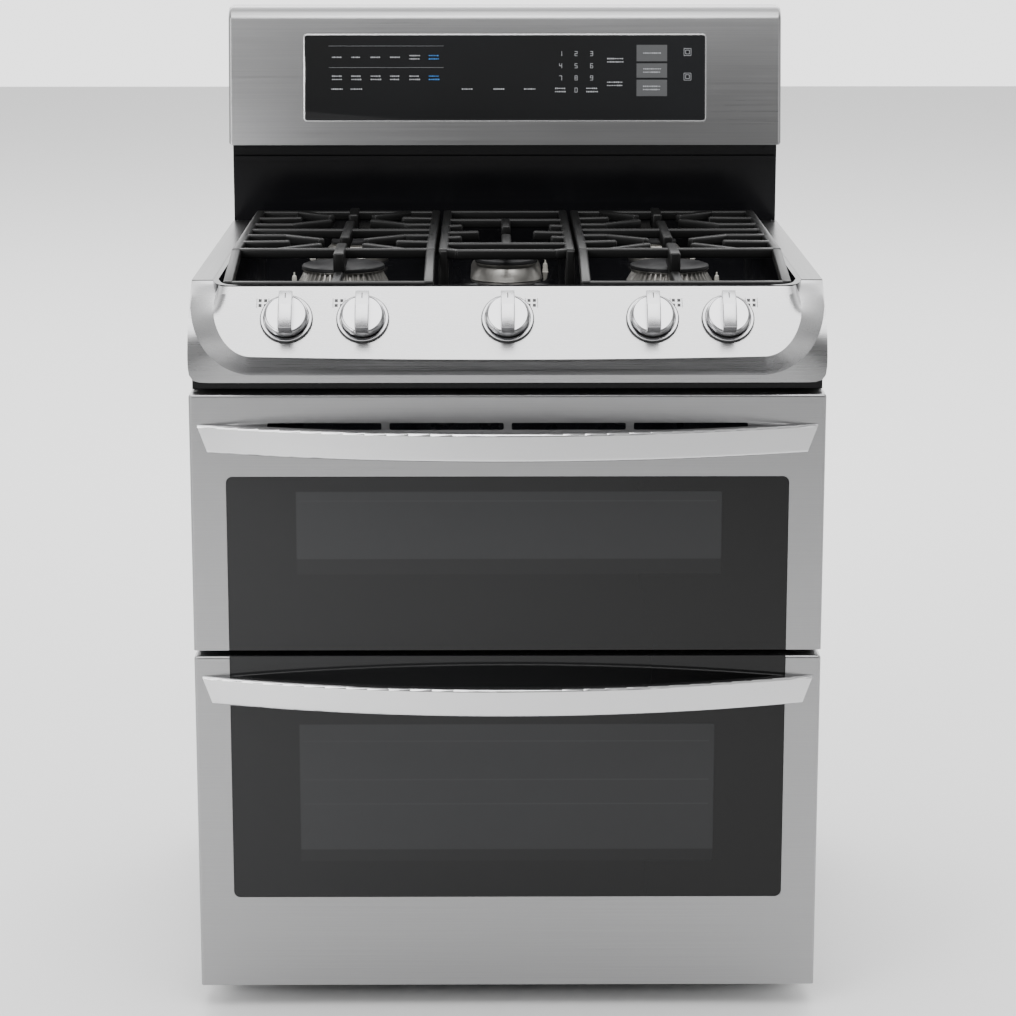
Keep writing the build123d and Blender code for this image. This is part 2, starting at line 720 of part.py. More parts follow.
def bar(start, end, height=bar_height, top=grate_top):
    # one straight square bar between two points in plan
    (x0, y0), (x1, y1) = start, end
    length = sqrt((x1 - x0) ** 2 + (y1 - y0) ** 2)
    turn = degrees(atan2(y1 - y0, x1 - x0))
    with Locations(Location(((x0 + x1) / 2, front + (y0 + y1) / 2, top - height / 2), (0, 0, turn))):
        Box(length + bar_width * 0.6, bar_width * 0.8, height)


def side_grate(side):
    outer = side * (side_grate_outer - bar_width / 2)
    inner = side * (side_grate_inner + bar_width / 2)
    middle = side * burner_x
    near, far = 30.0, 76.0     # finger tips and bends, from the burner's middle
    with BuildPart() as grate:
        for x in (outer, inner):
            bar((x, grate_slope_end), (x, grate_back - 6))
            leg_y, slope_y = front + grate_front, front + grate_slope_end
            side_profile([(leg_y + 2, pan_floor + 4), (leg_y + 2, grate_front_top - 3),
                          (slope_y, grate_top), (slope_y, grate_top - bar_height),
                          (leg_y + 18, grate_front_top - bar_height - 1), (leg_y + 18, pan_floor + 4)],
                         x - bar_width / 2, x + bar_width / 2)
            block((x - bar_width / 2, front + grate_back - 12, pan_floor + 0.6),
                  (x + bar_width / 2, front + grate_back + 2, grate_top - 2))
        low_x, high_x = sorted((outer, inner))
        block((low_x, front + grate_front, grate_front_top - 14),
              (high_x, front + grate_front + 11, grate_front_top - 3))
        for y in (grate_slope_end, 385.0, grate_back - 6):
            bar((outer, y), (inner, y))
        for burner_y, bars in ((front_burner_y, (grate_slope_end, 328.0)),
                               (rear_burner_y, (438.0, grate_back - 6))):
            for x in (outer, inner):
                way = 1 if x > middle else -1
                bar((x, burner_y), (middle + way * (far - 8), burner_y))
                for y in bars:
                    tip_y = burner_y + (y - burner_y) * 0.35
                    if y in (328.0, 438.0):
                        bar((x, y), (middle + way * far, y))
                    bar((middle + way * far, y), (middle + way * near, tip_y))
        bar((middle, grate_front + 6), (middle, front_burner_y - 60), top=grate_front_top - 3)
        bar((middle, 150.0), (middle, front_burner_y - 26), height=bar_height + 12)
        bar((middle, front_burner_y + 40), (middle, rear_burner_y - 42))
        bar((middle, rear_burner_y + 30), (middle, grate_back + 20))
    return grate


write(side_grate(-1), "grate_left")
write(side_grate(1), "grate_right")

with BuildPart() as grate_centre:
    edge_x = centre_grate_half - bar_width / 2
    first, last = 184.0, grate_back - 6
    for side in (-1, 1):
        x = side * edge_x
        bar((x, first), (x, last))
        for y in (first, last):
            block((x - bar_width / 2, front + y - 6, pan_floor + 0.6),
                  (x + bar_width / 2, front + y + 6, grate_top - 2))
        for y, tip in ((420.0, 57.0), (354.0, 35.0), (305.0, 57.0)):
            bar((x, y), (side * tip, y))
    for y in (first, 247.0, 486.0, last):
        bar((-edge_x, y), (edge_x, y))
    bar((0, 486), (0, 408))
    bar((0, 247), (0, 322))
write(grate_centre, "grate_centre")


# backguard

lean = Vector(0, cover_front_top - cover_front_bottom, cover_shoulder - cover_bottom).normalized()


def cover_face(z, out=0):
    # a point on the cover's leaning face at a height
    along = (z - cover_bottom) / lean.Z
    point = Vector(0, front + cover_front_bottom, cover_bottom) + lean * along
    return point + Vector(0, -lean.Z, lean.Y) * out


with BuildPart() as backguard_cover:
    shoulder_y, crown_y = front + cover_front_top, front + cover_front_top + 24
    with BuildSketch(Plane.YZ.offset(-half)) as profile:
        with BuildLine():
            low_point = (front + cover_front_bottom, cover_bottom)
            Line(low_point, (shoulder_y, cover_shoulder))
            RadiusArc((shoulder_y, cover_shoulder), (crown_y, total_height), 22)
            Line((crown_y, total_height), (back, total_height))
            Line((back, total_height), (back, cover_bottom))
            Line((back, cover_bottom), low_point)
        make_face()
    extrude(amount=body_width)
    with BuildSketch(Plane.YZ.offset(-half + sheet)):
        add(profile.sketch_local)
        offset(amount=-sheet, mode=Mode.REPLACE)
    extrude(amount=body_width - 2 * sheet, mode=Mode.SUBTRACT)
    block((-half + 6, back - 3, cover_bottom + 6), (half - 6, back + 1, total_height - 6), Mode.SUBTRACT)
    block((-half + 8, front + pan_back + 8, cover_bottom - 1), (half - 8, back - 8, cover_bottom + 3),
          Mode.SUBTRACT)
    display_plane = Plane(origin=cover_face((display_bottom + display_top) / 2), x_dir=(1, 0, 0),
                          z_dir=(0, -lean.Z, lean.Y))
    display_height = (display_top - display_bottom) / lean.Z
    with BuildSketch(display_plane.offset(-6)):
        RectangleRounded(2 * display_half_width + 1, display_height + 1, 4)
    extrude(amount=10, mode=Mode.SUBTRACT)
write(backguard_cover, "backguard_cover")

with BuildPart() as control_glass:
    with BuildSketch(display_plane.offset(-glass_thickness)):
        RectangleRounded(2 * display_half_width, display_height, 3.5)
    extrude(amount=glass_thickness)
write(control_glass, "control_glass")

with BuildPart() as control_board:
    with BuildSketch(display_plane.offset(-glass_thickness - 14)):
        Rectangle(360, 84)
    extrude(amount=1.6)
    with BuildSketch(display_plane.offset(-glass_thickness - 12.4)):
        with GridLocations(110, 1, 3, 1):
            Rectangle(70, 30)
    extrude(amount=9)
write(control_board, "control_board")

with BuildPart() as riser:
    riser_y = front + riser_setback
    lip_z = cover_bottom - 25
    edge = half - 1.5
    block((-edge, riser_y, cooktop_height), (edge, back - 2.5, cover_bottom - 0.5))
    block((-edge + sheet, riser_y + sheet, cooktop_height - 1),
          (edge - sheet, back, cover_bottom + 1), Mode.SUBTRACT)
    # lip of the ovens' flue outlet along the top of the riser
    block((-half + 4, riser_y - 10, lip_z), (half - 4, riser_y, lip_z + 6))
    block((-half + 5, riser_y - 9, lip_z - 1), (half - 5, riser_y - 1.5, lip_z + 4.5), Mode.SUBTRACT)
    for side in (-1, 1):
        x = side * (half - 16)
        rod((x, riser_y - 3, lip_z + 15), (x, riser_y, lip_z + 15), 4)
write(riser, "backguard_riser")


# ovens' insides and gas supply

def oven_rack(z):
    # wire rack: a round frame, lengthwise wires and two cross wires
    reach, wire = oven_half_width - 3.0, 2.5
    start, end = frame_y + 17.0, frame_y + oven_depth - 45
    z_wire = z + wire + 0.3
    with BuildPart() as rack:
        for x in (-reach, reach):
            rod((x, start, z_wire), (x, end, z_wire), wire)
        for y in (start, (start + end) / 2, end):
            rod((-reach, y, z_wire), (reach, y, z_wire), wire)
        for step in range(1, 24):
            x = -reach + step * 2 * reach / 24
            rod((x, start, z_wire + 2), (x, end, z_wire + 2), 1.6)
    return rack


write(oven_rack(upper_rack_z), "upper_oven_rack")
for number, z in enumerate(lower_rack_zs, 1):
    write(oven_rack(z), f"lower_oven_rack_{number}")

with BuildPart() as oven_burners:
    # broil burner loop under the upper oven's roof, bake burner over the lower oven's floor
    top = upper_oven_top - 16
    for side in (-1, 1):
        rod((side * 90, frame_y + 70, top), (side * 90, frame_y + oven_depth - 40, top), 9)
    rod((-90, frame_y + 70, top), (90, frame_y + 70, top), 9)
    rod((-90, frame_y + 260, top + 6), (-90, frame_y + 260, upper_oven_top), 3)
    rod((90, frame_y + 260, top + 6), (90, frame_y + 260, upper_oven_top), 3)
    low = lower_oven_bottom + 20
    rod((0, frame_y + 60, low), (0, frame_y + oven_depth - 60, low), 12)
    for y in (100, oven_depth - 120):
        rod((0, frame_y + y, lower_oven_bottom), (0, frame_y + y, low), 4)
write(oven_burners, "oven_burners")

can_y = fan_y + 4

with BuildPart() as fan:
    rod((0, fan_y - 16, fan_z), (0, can_y + 26, fan_z), 3)
    rod((0, fan_y - 20, fan_z), (0, fan_y - 14, fan_z), 9)
    rod((0, fan_y - 14, fan_z), (0, fan_y - 12.5, fan_z), 52)
    with Locations(Plane(origin=(0, fan_y - 18.5, fan_z), z_dir=(0, -1, 0))):
        with PolarLocations(36, 8):
            Box(30, 1.5, 9)
write(fan, "convection_fan")

with BuildPart() as convection_housing:
    # perforated cover inside the oven, motor can behind its back wall
    rod((0, can_y, fan_z), (0, can_y + 40, fan_z), 30)
    rod((0, can_y - 1, fan_z), (0, can_y + 30, fan_z), 3 + running, Mode.SUBTRACT)
    shell_y = fan_y - oven_wall - 32
    rod((0, shell_y, fan_z), (0, fan_y - oven_wall, fan_z), 70)
    rod((0, shell_y + 1.2, fan_z), (0, fan_y, fan_z), 68.8, Mode.SUBTRACT)
    with Locations(Plane(origin=(0, shell_y, fan_z), z_dir=(0, -1, 0))):
        for ring, count in ((16, 6), (32, 12), (48, 18)):
            with PolarLocations(ring, count):
                Cylinder(4, 10, mode=Mode.SUBTRACT)
write(convection_housing, "convection_housing")

with BuildPart() as oven_lamps:
    for z in (upper_oven_top - 34, lower_oven_top - 40):
        x = oven_half_width
        rod((x - 14, frame_y + 120, z), (x, frame_y + 120, z), 17)
    for z in (upper_oven_top - 40, lower_oven_top - 30):
        end_y = fan_y - oven_wall
        rod((-220, end_y - 60, z), (-220, end_y, z), 2.5)
        rod((-220, end_y - 3, z), (-220, end_y, z), 7)
write(oven_lamps, "oven_lamps_and_probes")

with BuildPart() as gas_supply:
    # manifold pipe, burner tubes and the pressure regulator with its inlet thread
    rod((-300, pipe_y, pipe_z), (330, pipe_y, pipe_z), 8)
    add(burner_tubes.part)
    inlet_y = back - 40
    block((inlet_x - 22, inlet_y - 30, inlet_z - 20), (inlet_x + 22, inlet_y + 12, inlet_z + 20))
    rod((inlet_x, inlet_y + 12, inlet_z), (inlet_x, inlet_y + 12 + inlet_length, inlet_z), inlet_radius)
    rod((inlet_x, inlet_y - 9, inlet_z + 20), (inlet_x, inlet_y - 9, inlet_z + 34), 14)
    rod((inlet_x, inlet_y - 9, base_bottom + 18), (inlet_x, inlet_y - 9, inlet_z - 20), 5)
    rod((inlet_x, inlet_y + 5, inlet_z), (inlet_x, inlet_y + 40, inlet_z), 6.5, Mode.SUBTRACT)
write(gas_supply, "gas_supply")

with BuildPart() as strain_relief:
    rod((cord_x, back - sheet - 8, inlet_z), (cord_x, back, inlet_z), 8.9)
    rod((cord_x, back - sheet - 8, inlet_z), (cord_x, back - sheet, inlet_z), 12)
    rod((cord_x, back - sheet - 9, inlet_z), (cord_x, back + 1, inlet_z), 4, Mode.SUBTRACT)
write(strain_relief, "cord_strain_relief")
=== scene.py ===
import json
import math
import random
import bmesh
import bpy
from mathutils import Matrix, Vector


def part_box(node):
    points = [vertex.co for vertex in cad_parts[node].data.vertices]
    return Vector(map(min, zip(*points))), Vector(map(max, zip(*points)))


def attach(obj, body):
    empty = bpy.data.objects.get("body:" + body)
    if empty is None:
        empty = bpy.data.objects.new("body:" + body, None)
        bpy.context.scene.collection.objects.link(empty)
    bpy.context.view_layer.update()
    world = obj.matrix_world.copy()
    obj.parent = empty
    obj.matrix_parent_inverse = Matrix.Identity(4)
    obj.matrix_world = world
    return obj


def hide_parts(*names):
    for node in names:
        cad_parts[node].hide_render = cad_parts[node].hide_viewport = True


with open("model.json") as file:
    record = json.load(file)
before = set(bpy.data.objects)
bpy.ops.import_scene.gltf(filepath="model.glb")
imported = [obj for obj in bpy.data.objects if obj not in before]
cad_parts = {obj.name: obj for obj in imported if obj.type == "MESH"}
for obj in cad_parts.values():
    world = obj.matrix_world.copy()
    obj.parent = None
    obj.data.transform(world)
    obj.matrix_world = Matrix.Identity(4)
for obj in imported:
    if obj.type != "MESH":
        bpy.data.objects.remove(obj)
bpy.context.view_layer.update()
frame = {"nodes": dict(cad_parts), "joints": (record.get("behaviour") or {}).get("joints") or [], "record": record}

nodes = frame["nodes"]
print("frame loaded:", len(nodes), "nodes")


# shader maths

class Wire:
    # a socket of a node tree that takes part in Python sums
    def __init__(self, tree, socket=None):
        self.tree = tree
        self.socket = socket

    def node(self, kind, settings=None, inputs=None, out=0):
        made = self.tree.nodes.new(kind)
        for name, value in (settings or {}).items():
            if name == "stops":
                while len(made.color_ramp.elements) < len(value):
                    made.color_ramp.elements.new(0.5)
                for element, (place, colour) in zip(made.color_ramp.elements, value):
                    element.position = place
                    element.color = colour
            else:
                setattr(made, name, value)
        for name, value in (inputs or {}).items():
            if isinstance(value, Wire):
                self.tree.links.new(value.socket, made.inputs[name])
            else:
                made.inputs[name].default_value = value
        return Wire(self.tree, made.outputs[out] if len(made.outputs) else None)

    def sum(self, operation, *terms):
        return self.node("ShaderNodeMath", {"operation": operation}, dict(enumerate(terms)))

    def __add__(self, other):
        return self.sum("ADD", self, other)

    def __radd__(self, other):
        return self.sum("ADD", other, self)

    def __sub__(self, other):
        return self.sum("SUBTRACT", self, other)

    def __rsub__(self, other):
        return self.sum("SUBTRACT", other, self)

    def __mul__(self, other):
        return self.sum("MULTIPLY", self, other)

    def __rmul__(self, other):
        return self.sum("MULTIPLY", other, self)

    def __truediv__(self, other):
        return self.sum("DIVIDE", self, other)

    def __rtruediv__(self, other):
        return self.sum("DIVIDE", other, self)

    def __gt__(self, other):
        return self.sum("GREATER_THAN", self, other)

    def __lt__(self, other):
        return self.sum("LESS_THAN", self, other)

    def clamp(self):
        return self.sum("MINIMUM", self.sum("MAXIMUM", self, 0.0), 1.0)

    def blendColour(self, low, high):
        return self.node("ShaderNodeMix", {"data_type": "RGBA"}, {0: self, 6: low, 7: high}, out=2)


def finish(name, recipe):
    # a material whose recipe returns the sockets of the principled shader
    made = bpy.data.materials.new(name)
    made.use_nodes = True
    tree = made.node_tree
    tree.nodes.clear()
    wire = Wire(tree)
    shader = wire.node("ShaderNodeBsdfPrincipled", None, recipe(wire))
    wire.node("ShaderNodeOutputMaterial", None, {"Surface": shader})
    return made


def place(wire, scale=(1, 1, 1)):
    # object coordinates, stretched
    coords = wire.node("ShaderNodeTexCoord", out=3)
    return wire.node("ShaderNodeMapping", None, {"Vector": coords, "Scale": scale})


def noise(wire, scale, detail=3.0, stretch=(1, 1, 1), rough=0.5):
    return wire.node("ShaderNodeTexNoise", None, {
        "Vector": place(wire, stretch), "Scale": scale, "Detail": detail, "Roughness": rough})


def bump(wire, height, strength, distance):
    # a relief from a varying value; distance is in metres
    return wire.node("ShaderNodeBump", None, {
        "Height": height, "Strength": strength, "Distance": distance})


def grey(level, tint=(1, 1, 1)):
    # an opaque colour
    return (level * tint[0], level * tint[1], level * tint[2], 1)


# finishes

steelGrain = {"length": 3.0, "fineness": 900.0}  # scales along and across the brushing


def brushedRecipe(light, dark, rough, along=(1, 0, 0), cloud=0.05, underShade=0.0):
    # steel brushed along one axis, with a faint cloudiness, and painted shade on faces that look down when asked
    def recipe(w):
        stretch = tuple(steelGrain["length"] if a else steelGrain["fineness"] for a in along)
        grain = noise(w, 1.0, 4.0, stretch, 0.65)
        cloudy = noise(w, 5.0, 2.0)
        tone = (grain - 0.5) * 1.1 + (cloudy - 0.5) * cloud + 0.5
        colour = tone.clamp().blendColour(grey(dark, (1, 1, 1.01)), grey(light, (1, 1, 1.01)))
        if underShade:
            # painted shade: faces that look down are painted darker
            normal = w.node("ShaderNodeTexCoord", out=1)
            down = (0.05 - w.node("ShaderNodeSeparateXYZ", None, {"Vector": normal}, out=2)) * 2.2
            colour = (down.clamp() * underShade).blendColour(colour, grey(dark * 0.15))
        return {
            "Base Color": colour,
            "Metallic": 1.0,
            "Roughness": rough + (grain - 0.5) * 0.16 + (cloudy - 0.5) * 0.06,
            "Normal": bump(w, grain, 0.06, 0.0004),
        }
    return recipe


def glossRecipe(colour, rough, speck=0.0, metallic=0.0, shine=0.5):
    # any smooth finish: a colour with fine specks and uneven gloss
    def recipe(w):
        cloudy = noise(w, 14.0, 3.0)
        fine = noise(w, 900.0, 2.0)
        base = tuple(c * (1 - speck) for c in colour) + (1,)
        high = tuple(min(1.0, c * (1 + speck) + 0.002) for c in colour) + (1,)
        return {
            "Base Color": (fine * 0.6 + cloudy * 0.4).blendColour(base, high),
            "Metallic": metallic,
            "Roughness": rough + (cloudy - 0.5) * 0.06,
            "Specular IOR Level": shine,
            "Normal": bump(w, fine, 0.03, 0.0002),
        }
    return recipe


def ironRecipe(w):
    # rough matt cast iron
    grit = noise(w, 700.0, 4.0, rough=0.7)
    wear = noise(w, 18.0, 3.0)
    return {
        "Base Color": (wear * 0.5 + grit * 0.5).blendColour(grey(0.003), grey(0.010)),
        "Roughness": 0.36 + (grit - 0.5) * 0.2,
        "Specular IOR Level": 0.24,
        "Normal": bump(w, grit, 0.12, 0.0003),
    }


def speckledRecipe(w):
    # oven enamel: dark blue grey with pale flecks
    flecks = w.node("ShaderNodeTexVoronoi", None, {"Vector": place(w), "Scale": 900.0})
    dots = (flecks < 0.22) * (noise(w, 400.0, 2.0) > 0.5)
    return {
        "Base Color": dots.blendColour(grey(0.022, (0.9, 0.95, 1.2)), grey(0.14, (0.95, 1, 1.1))),
        "Roughness": 0.24 + noise(w, 30.0, 2.0) * 0.08,
        "Normal": bump(w, noise(w, 200.0, 2.0), 0.03, 0.0002),
    }


def woolRecipe(w):
    # yellow insulation
    fibres = noise(w, 300.0, 6.0, (1, 1, 4), 0.8)
    return {
        "Base Color": fibres.blendColour((0.42, 0.33, 0.12, 1), (0.78, 0.68, 0.38, 1)),
        "Roughness": 0.95,
        "Normal": bump(w, fibres, 0.8, 0.003),
    }


def glassRecipe(w):
    # tinted door glass seen as a deep grey mirror
    smear = noise(w, 6.0, 2.0)
    return {
        "Base Color": smear.blendColour(grey(0.010), grey(0.014, (0.95, 1, 1.1))),
        "Roughness": 0.045 + smear * 0.02,
        "IOR": 1.52,
        "Specular IOR Level": 0.3,
    }


# windows as left, right, low and high; the band and the rack lines are heights
doorGlass = {
    "upper": {"window": (-0.254, 0.257, 0.572, 0.656), "band": 0.553, "lines": (0.644,)},
    "lower": {"window": (-0.254, 0.252, 0.205, 0.366), "band": 0.190, "lines": (0.344, 0.295, 0.264)},
}


def patch(x, z, edges, soft):
    # one inside a rectangle of the front, fading at its edges
    left, right, low, high = edges
    across = ((x - left) / soft).clamp() * ((right - x) / soft).clamp()
    return across * ((z - low) / soft).clamp() * ((high - z) / soft).clamp()


def doorGlassRecipe(sizes):
    def recipe(w):
        x, z = (w.node("ShaderNodeSeparateXYZ", None, {"Vector": place(w)}, out=i) for i in (0, 2))
        left, right, low, high = sizes["window"]
        window = patch(x, z, sizes["window"], 0.0012)
        band = patch(x, z, (left, right, sizes["band"], high), 0.0012)
        wires = 0.0
        for line in sizes["lines"]:
            wires = patch(x, z, (left + 0.004, right - 0.006, line - 0.0012, line + 0.0012), 0.0008) + wires
        smear = noise(w, 6.0, 2.0)
        # painted light: each pane is painted paler towards its left side
        side = (0.34 - x).clamp() * 0.55
        tone = window * 0.42 + band * 0.12 + wires * 0.3 + smear * 0.05 + side
        return {
            "Base Color": tone.clamp().blendColour(grey(0.004), grey(0.030, (0.97, 1, 1.05))),
            "Roughness": 0.05 + smear * 0.03 + window * 0.03,
            "IOR": 1.5,
            "Specular IOR Level": 0.26,
        }
    return recipe


def clearRecipe(w):
    # inner panes and lamp covers
    return {
        "Base Color": noise(w, 5.0).blendColour(grey(0.9), grey(0.95, (0.97, 1, 0.99))),
        "Roughness": 0.03 + noise(w, 12.0) * 0.02,
        "Transmission Weight": 1.0,
        "IOR": 1.47,
        "Alpha": 0.35,
    }


def boardRecipe(w):
    # circuit board with its tracks
    tracks = w.node("ShaderNodeTexBrick", None, {
        "Vector": place(w), "Color1": (0.02, 0.14, 0.05, 1), "Color2": (0.03, 0.2, 0.08, 1),
        "Mortar": (0.5, 0.4, 0.1, 1), "Scale": 60.0, "Mortar Size": 0.01})
    return {"Base Color": tracks, "Roughness": 0.35 + noise(w, 100.0) * 0.1}


finishes = {
    "brushed_steel": brushedRecipe(0.38, 0.29, 0.31),
    "satin_steel": brushedRecipe(0.72, 0.64, 0.24, cloud=0.03),
    "black_enamel": glossRecipe((0.005, 0.005, 0.006), 0.12, 0.15, shine=0.2),
    "grey_enamel": speckledRecipe,
    "grey_paint": glossRecipe((0.20, 0.20, 0.21), 0.38, 0.05),
    "galvanised": glossRecipe((0.42, 0.43, 0.44), 0.42, 0.16, metallic=0.9),
    "cast_iron": ironRecipe,
    "cast_aluminium": glossRecipe((0.52, 0.50, 0.47), 0.42, 0.12, metallic=0.85),
    "black_glass": glassRecipe,
    "clear_glass": clearRecipe,
    "chrome_wire": glossRecipe((0.62, 0.62, 0.63), 0.16, 0.06, metallic=1.0),
    "black_plastic": glossRecipe((0.018, 0.018, 0.019), 0.5, 0.2),
    "wool": woolRecipe,
    "gasket_cord": glossRecipe((0.05, 0.05, 0.05), 0.9, 0.5),
    "brass": glossRecipe((0.62, 0.44, 0.16), 0.3, 0.1, metallic=1.0),
    "white_ceramic": glossRecipe((0.72, 0.70, 0.64), 0.55, 0.06),
    "board_green": boardRecipe,
    "knob_steel": glossRecipe((0.50, 0.50, 0.51), 0.2, 0.03, metallic=1.0),
    "trim_steel": brushedRecipe(0.17, 0.12, 0.30, along=(0, 1, 0)),
    "cap_enamel": glossRecipe((0.012, 0.012, 0.013), 0.5, 0.2, shine=0.2),
    "head_metal": glossRecipe((0.36, 0.35, 0.33), 0.36, 0.10, metallic=0.9),
    "ring_steel": glossRecipe((0.42, 0.42, 0.43), 0.16, 0.03, metallic=1.0),
    # panel steel: brushed steel with painted shade on its faces that look down
    "panel_steel": brushedRecipe(0.47, 0.38, 0.29, underShade=0.42),
}
materials = {slot: finish(slot, recipe) for slot, recipe in finishes.items()}
slotOf = {row["node"]: row["material_slot"] for row in frame["record"]["subparts"]}
for name, thing in nodes.items():
    thing.data.materials.clear()
    thing.data.materials.append(materials[slotOf[name]])
for name, sizes in doorGlass.items():
    materials[name + "Pane"] = finish(name + "Pane", doorGlassRecipe(sizes))
    nodes[name + "_door_outer_glass"].data.materials[0] = materials[name + "Pane"]
nodes["cooktop_side_trims"].data.materials[0] = materials["trim_steel"]
print("finishes made:", len(materials))


# camera, lights and floor

view = {"place": (-0.020, -3.6055, 1.4005), "down": 11.56, "right": 0.354, "lens": 100.2, "lift": -0.0726}
cameraData = bpy.data.cameras.new("view")
camera = bpy.data.objects.new("view", cameraData)
bpy.context.scene.collection.objects.link(camera)
camera.location = view["place"]
camera.rotation_euler = (math.radians(90 - view["down"]), 0, math.radians(-view["right"]))
cameraData.lens = view["lens"]
cameraData.shift_y = view["lift"]
bpy.context.scene.camera = camera


def softbox(name, position, target, size, power):
    # an area lamp that looks at a point
    lamp = bpy.data.lights.new(name, "AREA")
    lamp.shape = "RECTANGLE"
    lamp.size, lamp.size_y = size
    lamp.energy = power
    box = bpy.data.objects.new(name, lamp)
    bpy.context.scene.collection.objects.link(box)
    box.location = position
    box.rotation_euler = (Vector(target) - Vector(position)).to_track_quat("-Z", "Y").to_euler()


# world strength before and behind the range, and how pale the floor is
studio = {"front": 0.24, "rear": 2.5, "floor": 0.8, "floorRough": 0.6, "floorHalf": 14}
# where each lamp stands, what it faces, its size in metres and its watts
lamps = {
    "keyLeft": ((-2.9, -2.4, 2.4), (0, 0, 0.7), (2.0, 2.0), 46),
    "fillRight": ((2.8, -2.4, 1.8), (0, 0, 0.6), (1.6, 2.0), 14),
    "floorLeft": ((-1.9, -2.8, 1.4), (-1.0, -2.9, 0), (1.0, 1.0), 42),
    "rearFloor": ((0, 4.0, 4.2), (0, 6.5, 0), (9.0, 4.0), 520),
    "topLight": ((0, -0.4, 3.2), (0, 0, 0.6), (2.6, 1.6), 50),
    "facetLight": ((0, -2.3, 4.2), (0, -0.3, 0.86), (3.4, 1.6), 90),
    "rearRim": ((0, 2.6, 2.4), (0, 0.3, 0.9), (3.0, 1.2), 30),
}
for name, lampSettings in lamps.items():
    softbox(name, *lampSettings)

world = bpy.data.worlds.new("studio")
bpy.context.scene.world = world
world.use_nodes = True
sky = Wire(world.node_tree)
facing = sky.node("ShaderNodeSeparateXYZ", None, {"Vector": sky.node("ShaderNodeTexCoord")}, out=1)
glow = (facing * 0.9 + 0.3).clamp()  # brighter behind the range than in front
world.node_tree.nodes["Background"].inputs["Color"].default_value = (1, 1, 1, 1)
world.node_tree.links.new((glow * (studio["rear"] - studio["front"]) + studio["front"]).socket,
                          world.node_tree.nodes["Background"].inputs["Strength"])

floorMesh = bmesh.new()
bmesh.ops.create_grid(floorMesh, x_segments=1, y_segments=1, size=studio["floorHalf"])
floorData = bpy.data.meshes.new("floor")
floorMesh.to_mesh(floorData)
floorMesh.free()
floor = bpy.data.objects.new("floor", floorData)
bpy.context.scene.collection.objects.link(floor)
floorData.materials.append(finish("floorPaint", glossRecipe((studio["floor"],) * 3, studio["floorRough"], 0.01)))
print("studio set")


# making pieces

def blank():
    return bmesh.new()


def piece(name, shape, slot, body, replaced=(), sharp=32, thick=0.0, look=None):
    # turns a bmesh into a finished piece that rides on its body
    bmesh.ops.remove_doubles(shape, verts=shape.verts, dist=1e-6)
    bmesh.ops.recalc_face_normals(shape, faces=shape.faces)
    data = bpy.data.meshes.new(name)
    shape.edges.index_update()
    rims = [edge.index for edge in shape.edges if edge.is_boundary]
    shape.to_mesh(data)
    shape.free()
    for face in data.polygons:
        face.use_smooth = True
    data.set_sharp_from_angle(angle=math.radians(sharp))
    for index in rims:
        data.edges[index].use_edge_sharp = True
    thing = bpy.data.objects.new(name, data)
    bpy.context.scene.collection.objects.link(thing)
    data.materials.append(materials[look or slot])
    if thick:
        wall = thing.modifiers.new("wall", "SOLIDIFY")
        wall.thickness = thick
        wall.offset = -1
    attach(thing, body)
    if replaced:
        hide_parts(*replaced)
    return thing


def rounded(shape, amount, segments=3, edges=None):
    bmesh.ops.bevel(shape, geom=list(edges or shape.edges), offset=amount, segments=segments,
                    profile=0.5, affect="EDGES", material=-1, clamp_overlap=True)


def brick(shape, low, high):
    # a box between two corners
    part = bmesh.new()
    bmesh.ops.create_cube(part, size=1)
    bmesh.ops.scale(part, vec=Vector(high) - Vector(low), verts=part.verts)
    bmesh.ops.translate(part, vec=(Vector(low) + Vector(high)) / 2, verts=part.verts)
    join(shape, part)


def join(shape, part):
    # adds one bmesh to another and frees it
    scratch = bpy.data.meshes.new("scratch")
    part.to_mesh(scratch)
    part.free()
    shape.from_mesh(scratch)
    bpy.data.meshes.remove(scratch)


def turned(profile, steps):
    # spins (radius, height) points round the z axis into a closed solid
    part = bmesh.new()
    ring = [part.verts.new((r, 0, z)) for r, z in profile]
    edges = [part.edges.new(pair) for pair in zip(ring, ring[1:])]
    bmesh.ops.spin(part, geom=ring + edges, cent=(0, 0, 0), axis=(0, 0, 1), steps=steps,
                   angle=math.tau, use_merge=True)
    bmesh.ops.remove_doubles(part, verts=part.verts, dist=1e-6)
    return part


# the doors' front plane, half the width and the cooktop's rim
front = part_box("upper_door_skin")[0].y
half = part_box("upper_door_skin")[1].x
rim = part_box("cooktop_side_trims")[1].z


# control panel: a sloping facet with round lower corners, a band round it and cheeks that curve back

panelSizes = {
    "bottom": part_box("control_panel")[0].z, "top": rim - 0.001, "cheekRise": 0.802, "setback": 0.070,
    "facetTop": 0.022, "facetHalf": 0.349, "crease": 0.825, "creaseReach": 0.035,
    "cornerX": 0.301, "cornerZ": 0.885, "bandX": 0.0775, "bandZ": 0.088, "bow": 0.003,
    "sCurve": 0.022, "tuckLow": 0.868, "thick": 0.0012,
    # how sharply the cheeks, the fold and the outline's corners turn
    "cheekTurn": 2.3, "foldTurn": 5, "outlineTurn": 14,
    "sideSteps": 8, "cornerSteps": 24, "bottomSteps": 40,
}


def ease(value):
    # 0 to 1 with soft ends
    value = max(0.0, min(1.0, value))
    return value * value * (3 - 2 * value)


def facetY(z):
    # how far back the sloping facet stands at a height
    p = panelSizes
    slope = (p["creaseReach"] + p["facetTop"]) / (p["top"] + 0.001 - p["crease"] + 0.003)
    return p["facetTop"] - (p["top"] - z) * slope


def baseY(z):
    # how far back the cheeks stand at a height
    p = panelSizes
    rise = max(0.0, min(1.0, (z - p["cheekRise"]) / (p["top"] - p["cheekRise"])))
    return p["setback"] * rise ** p["cheekTurn"]


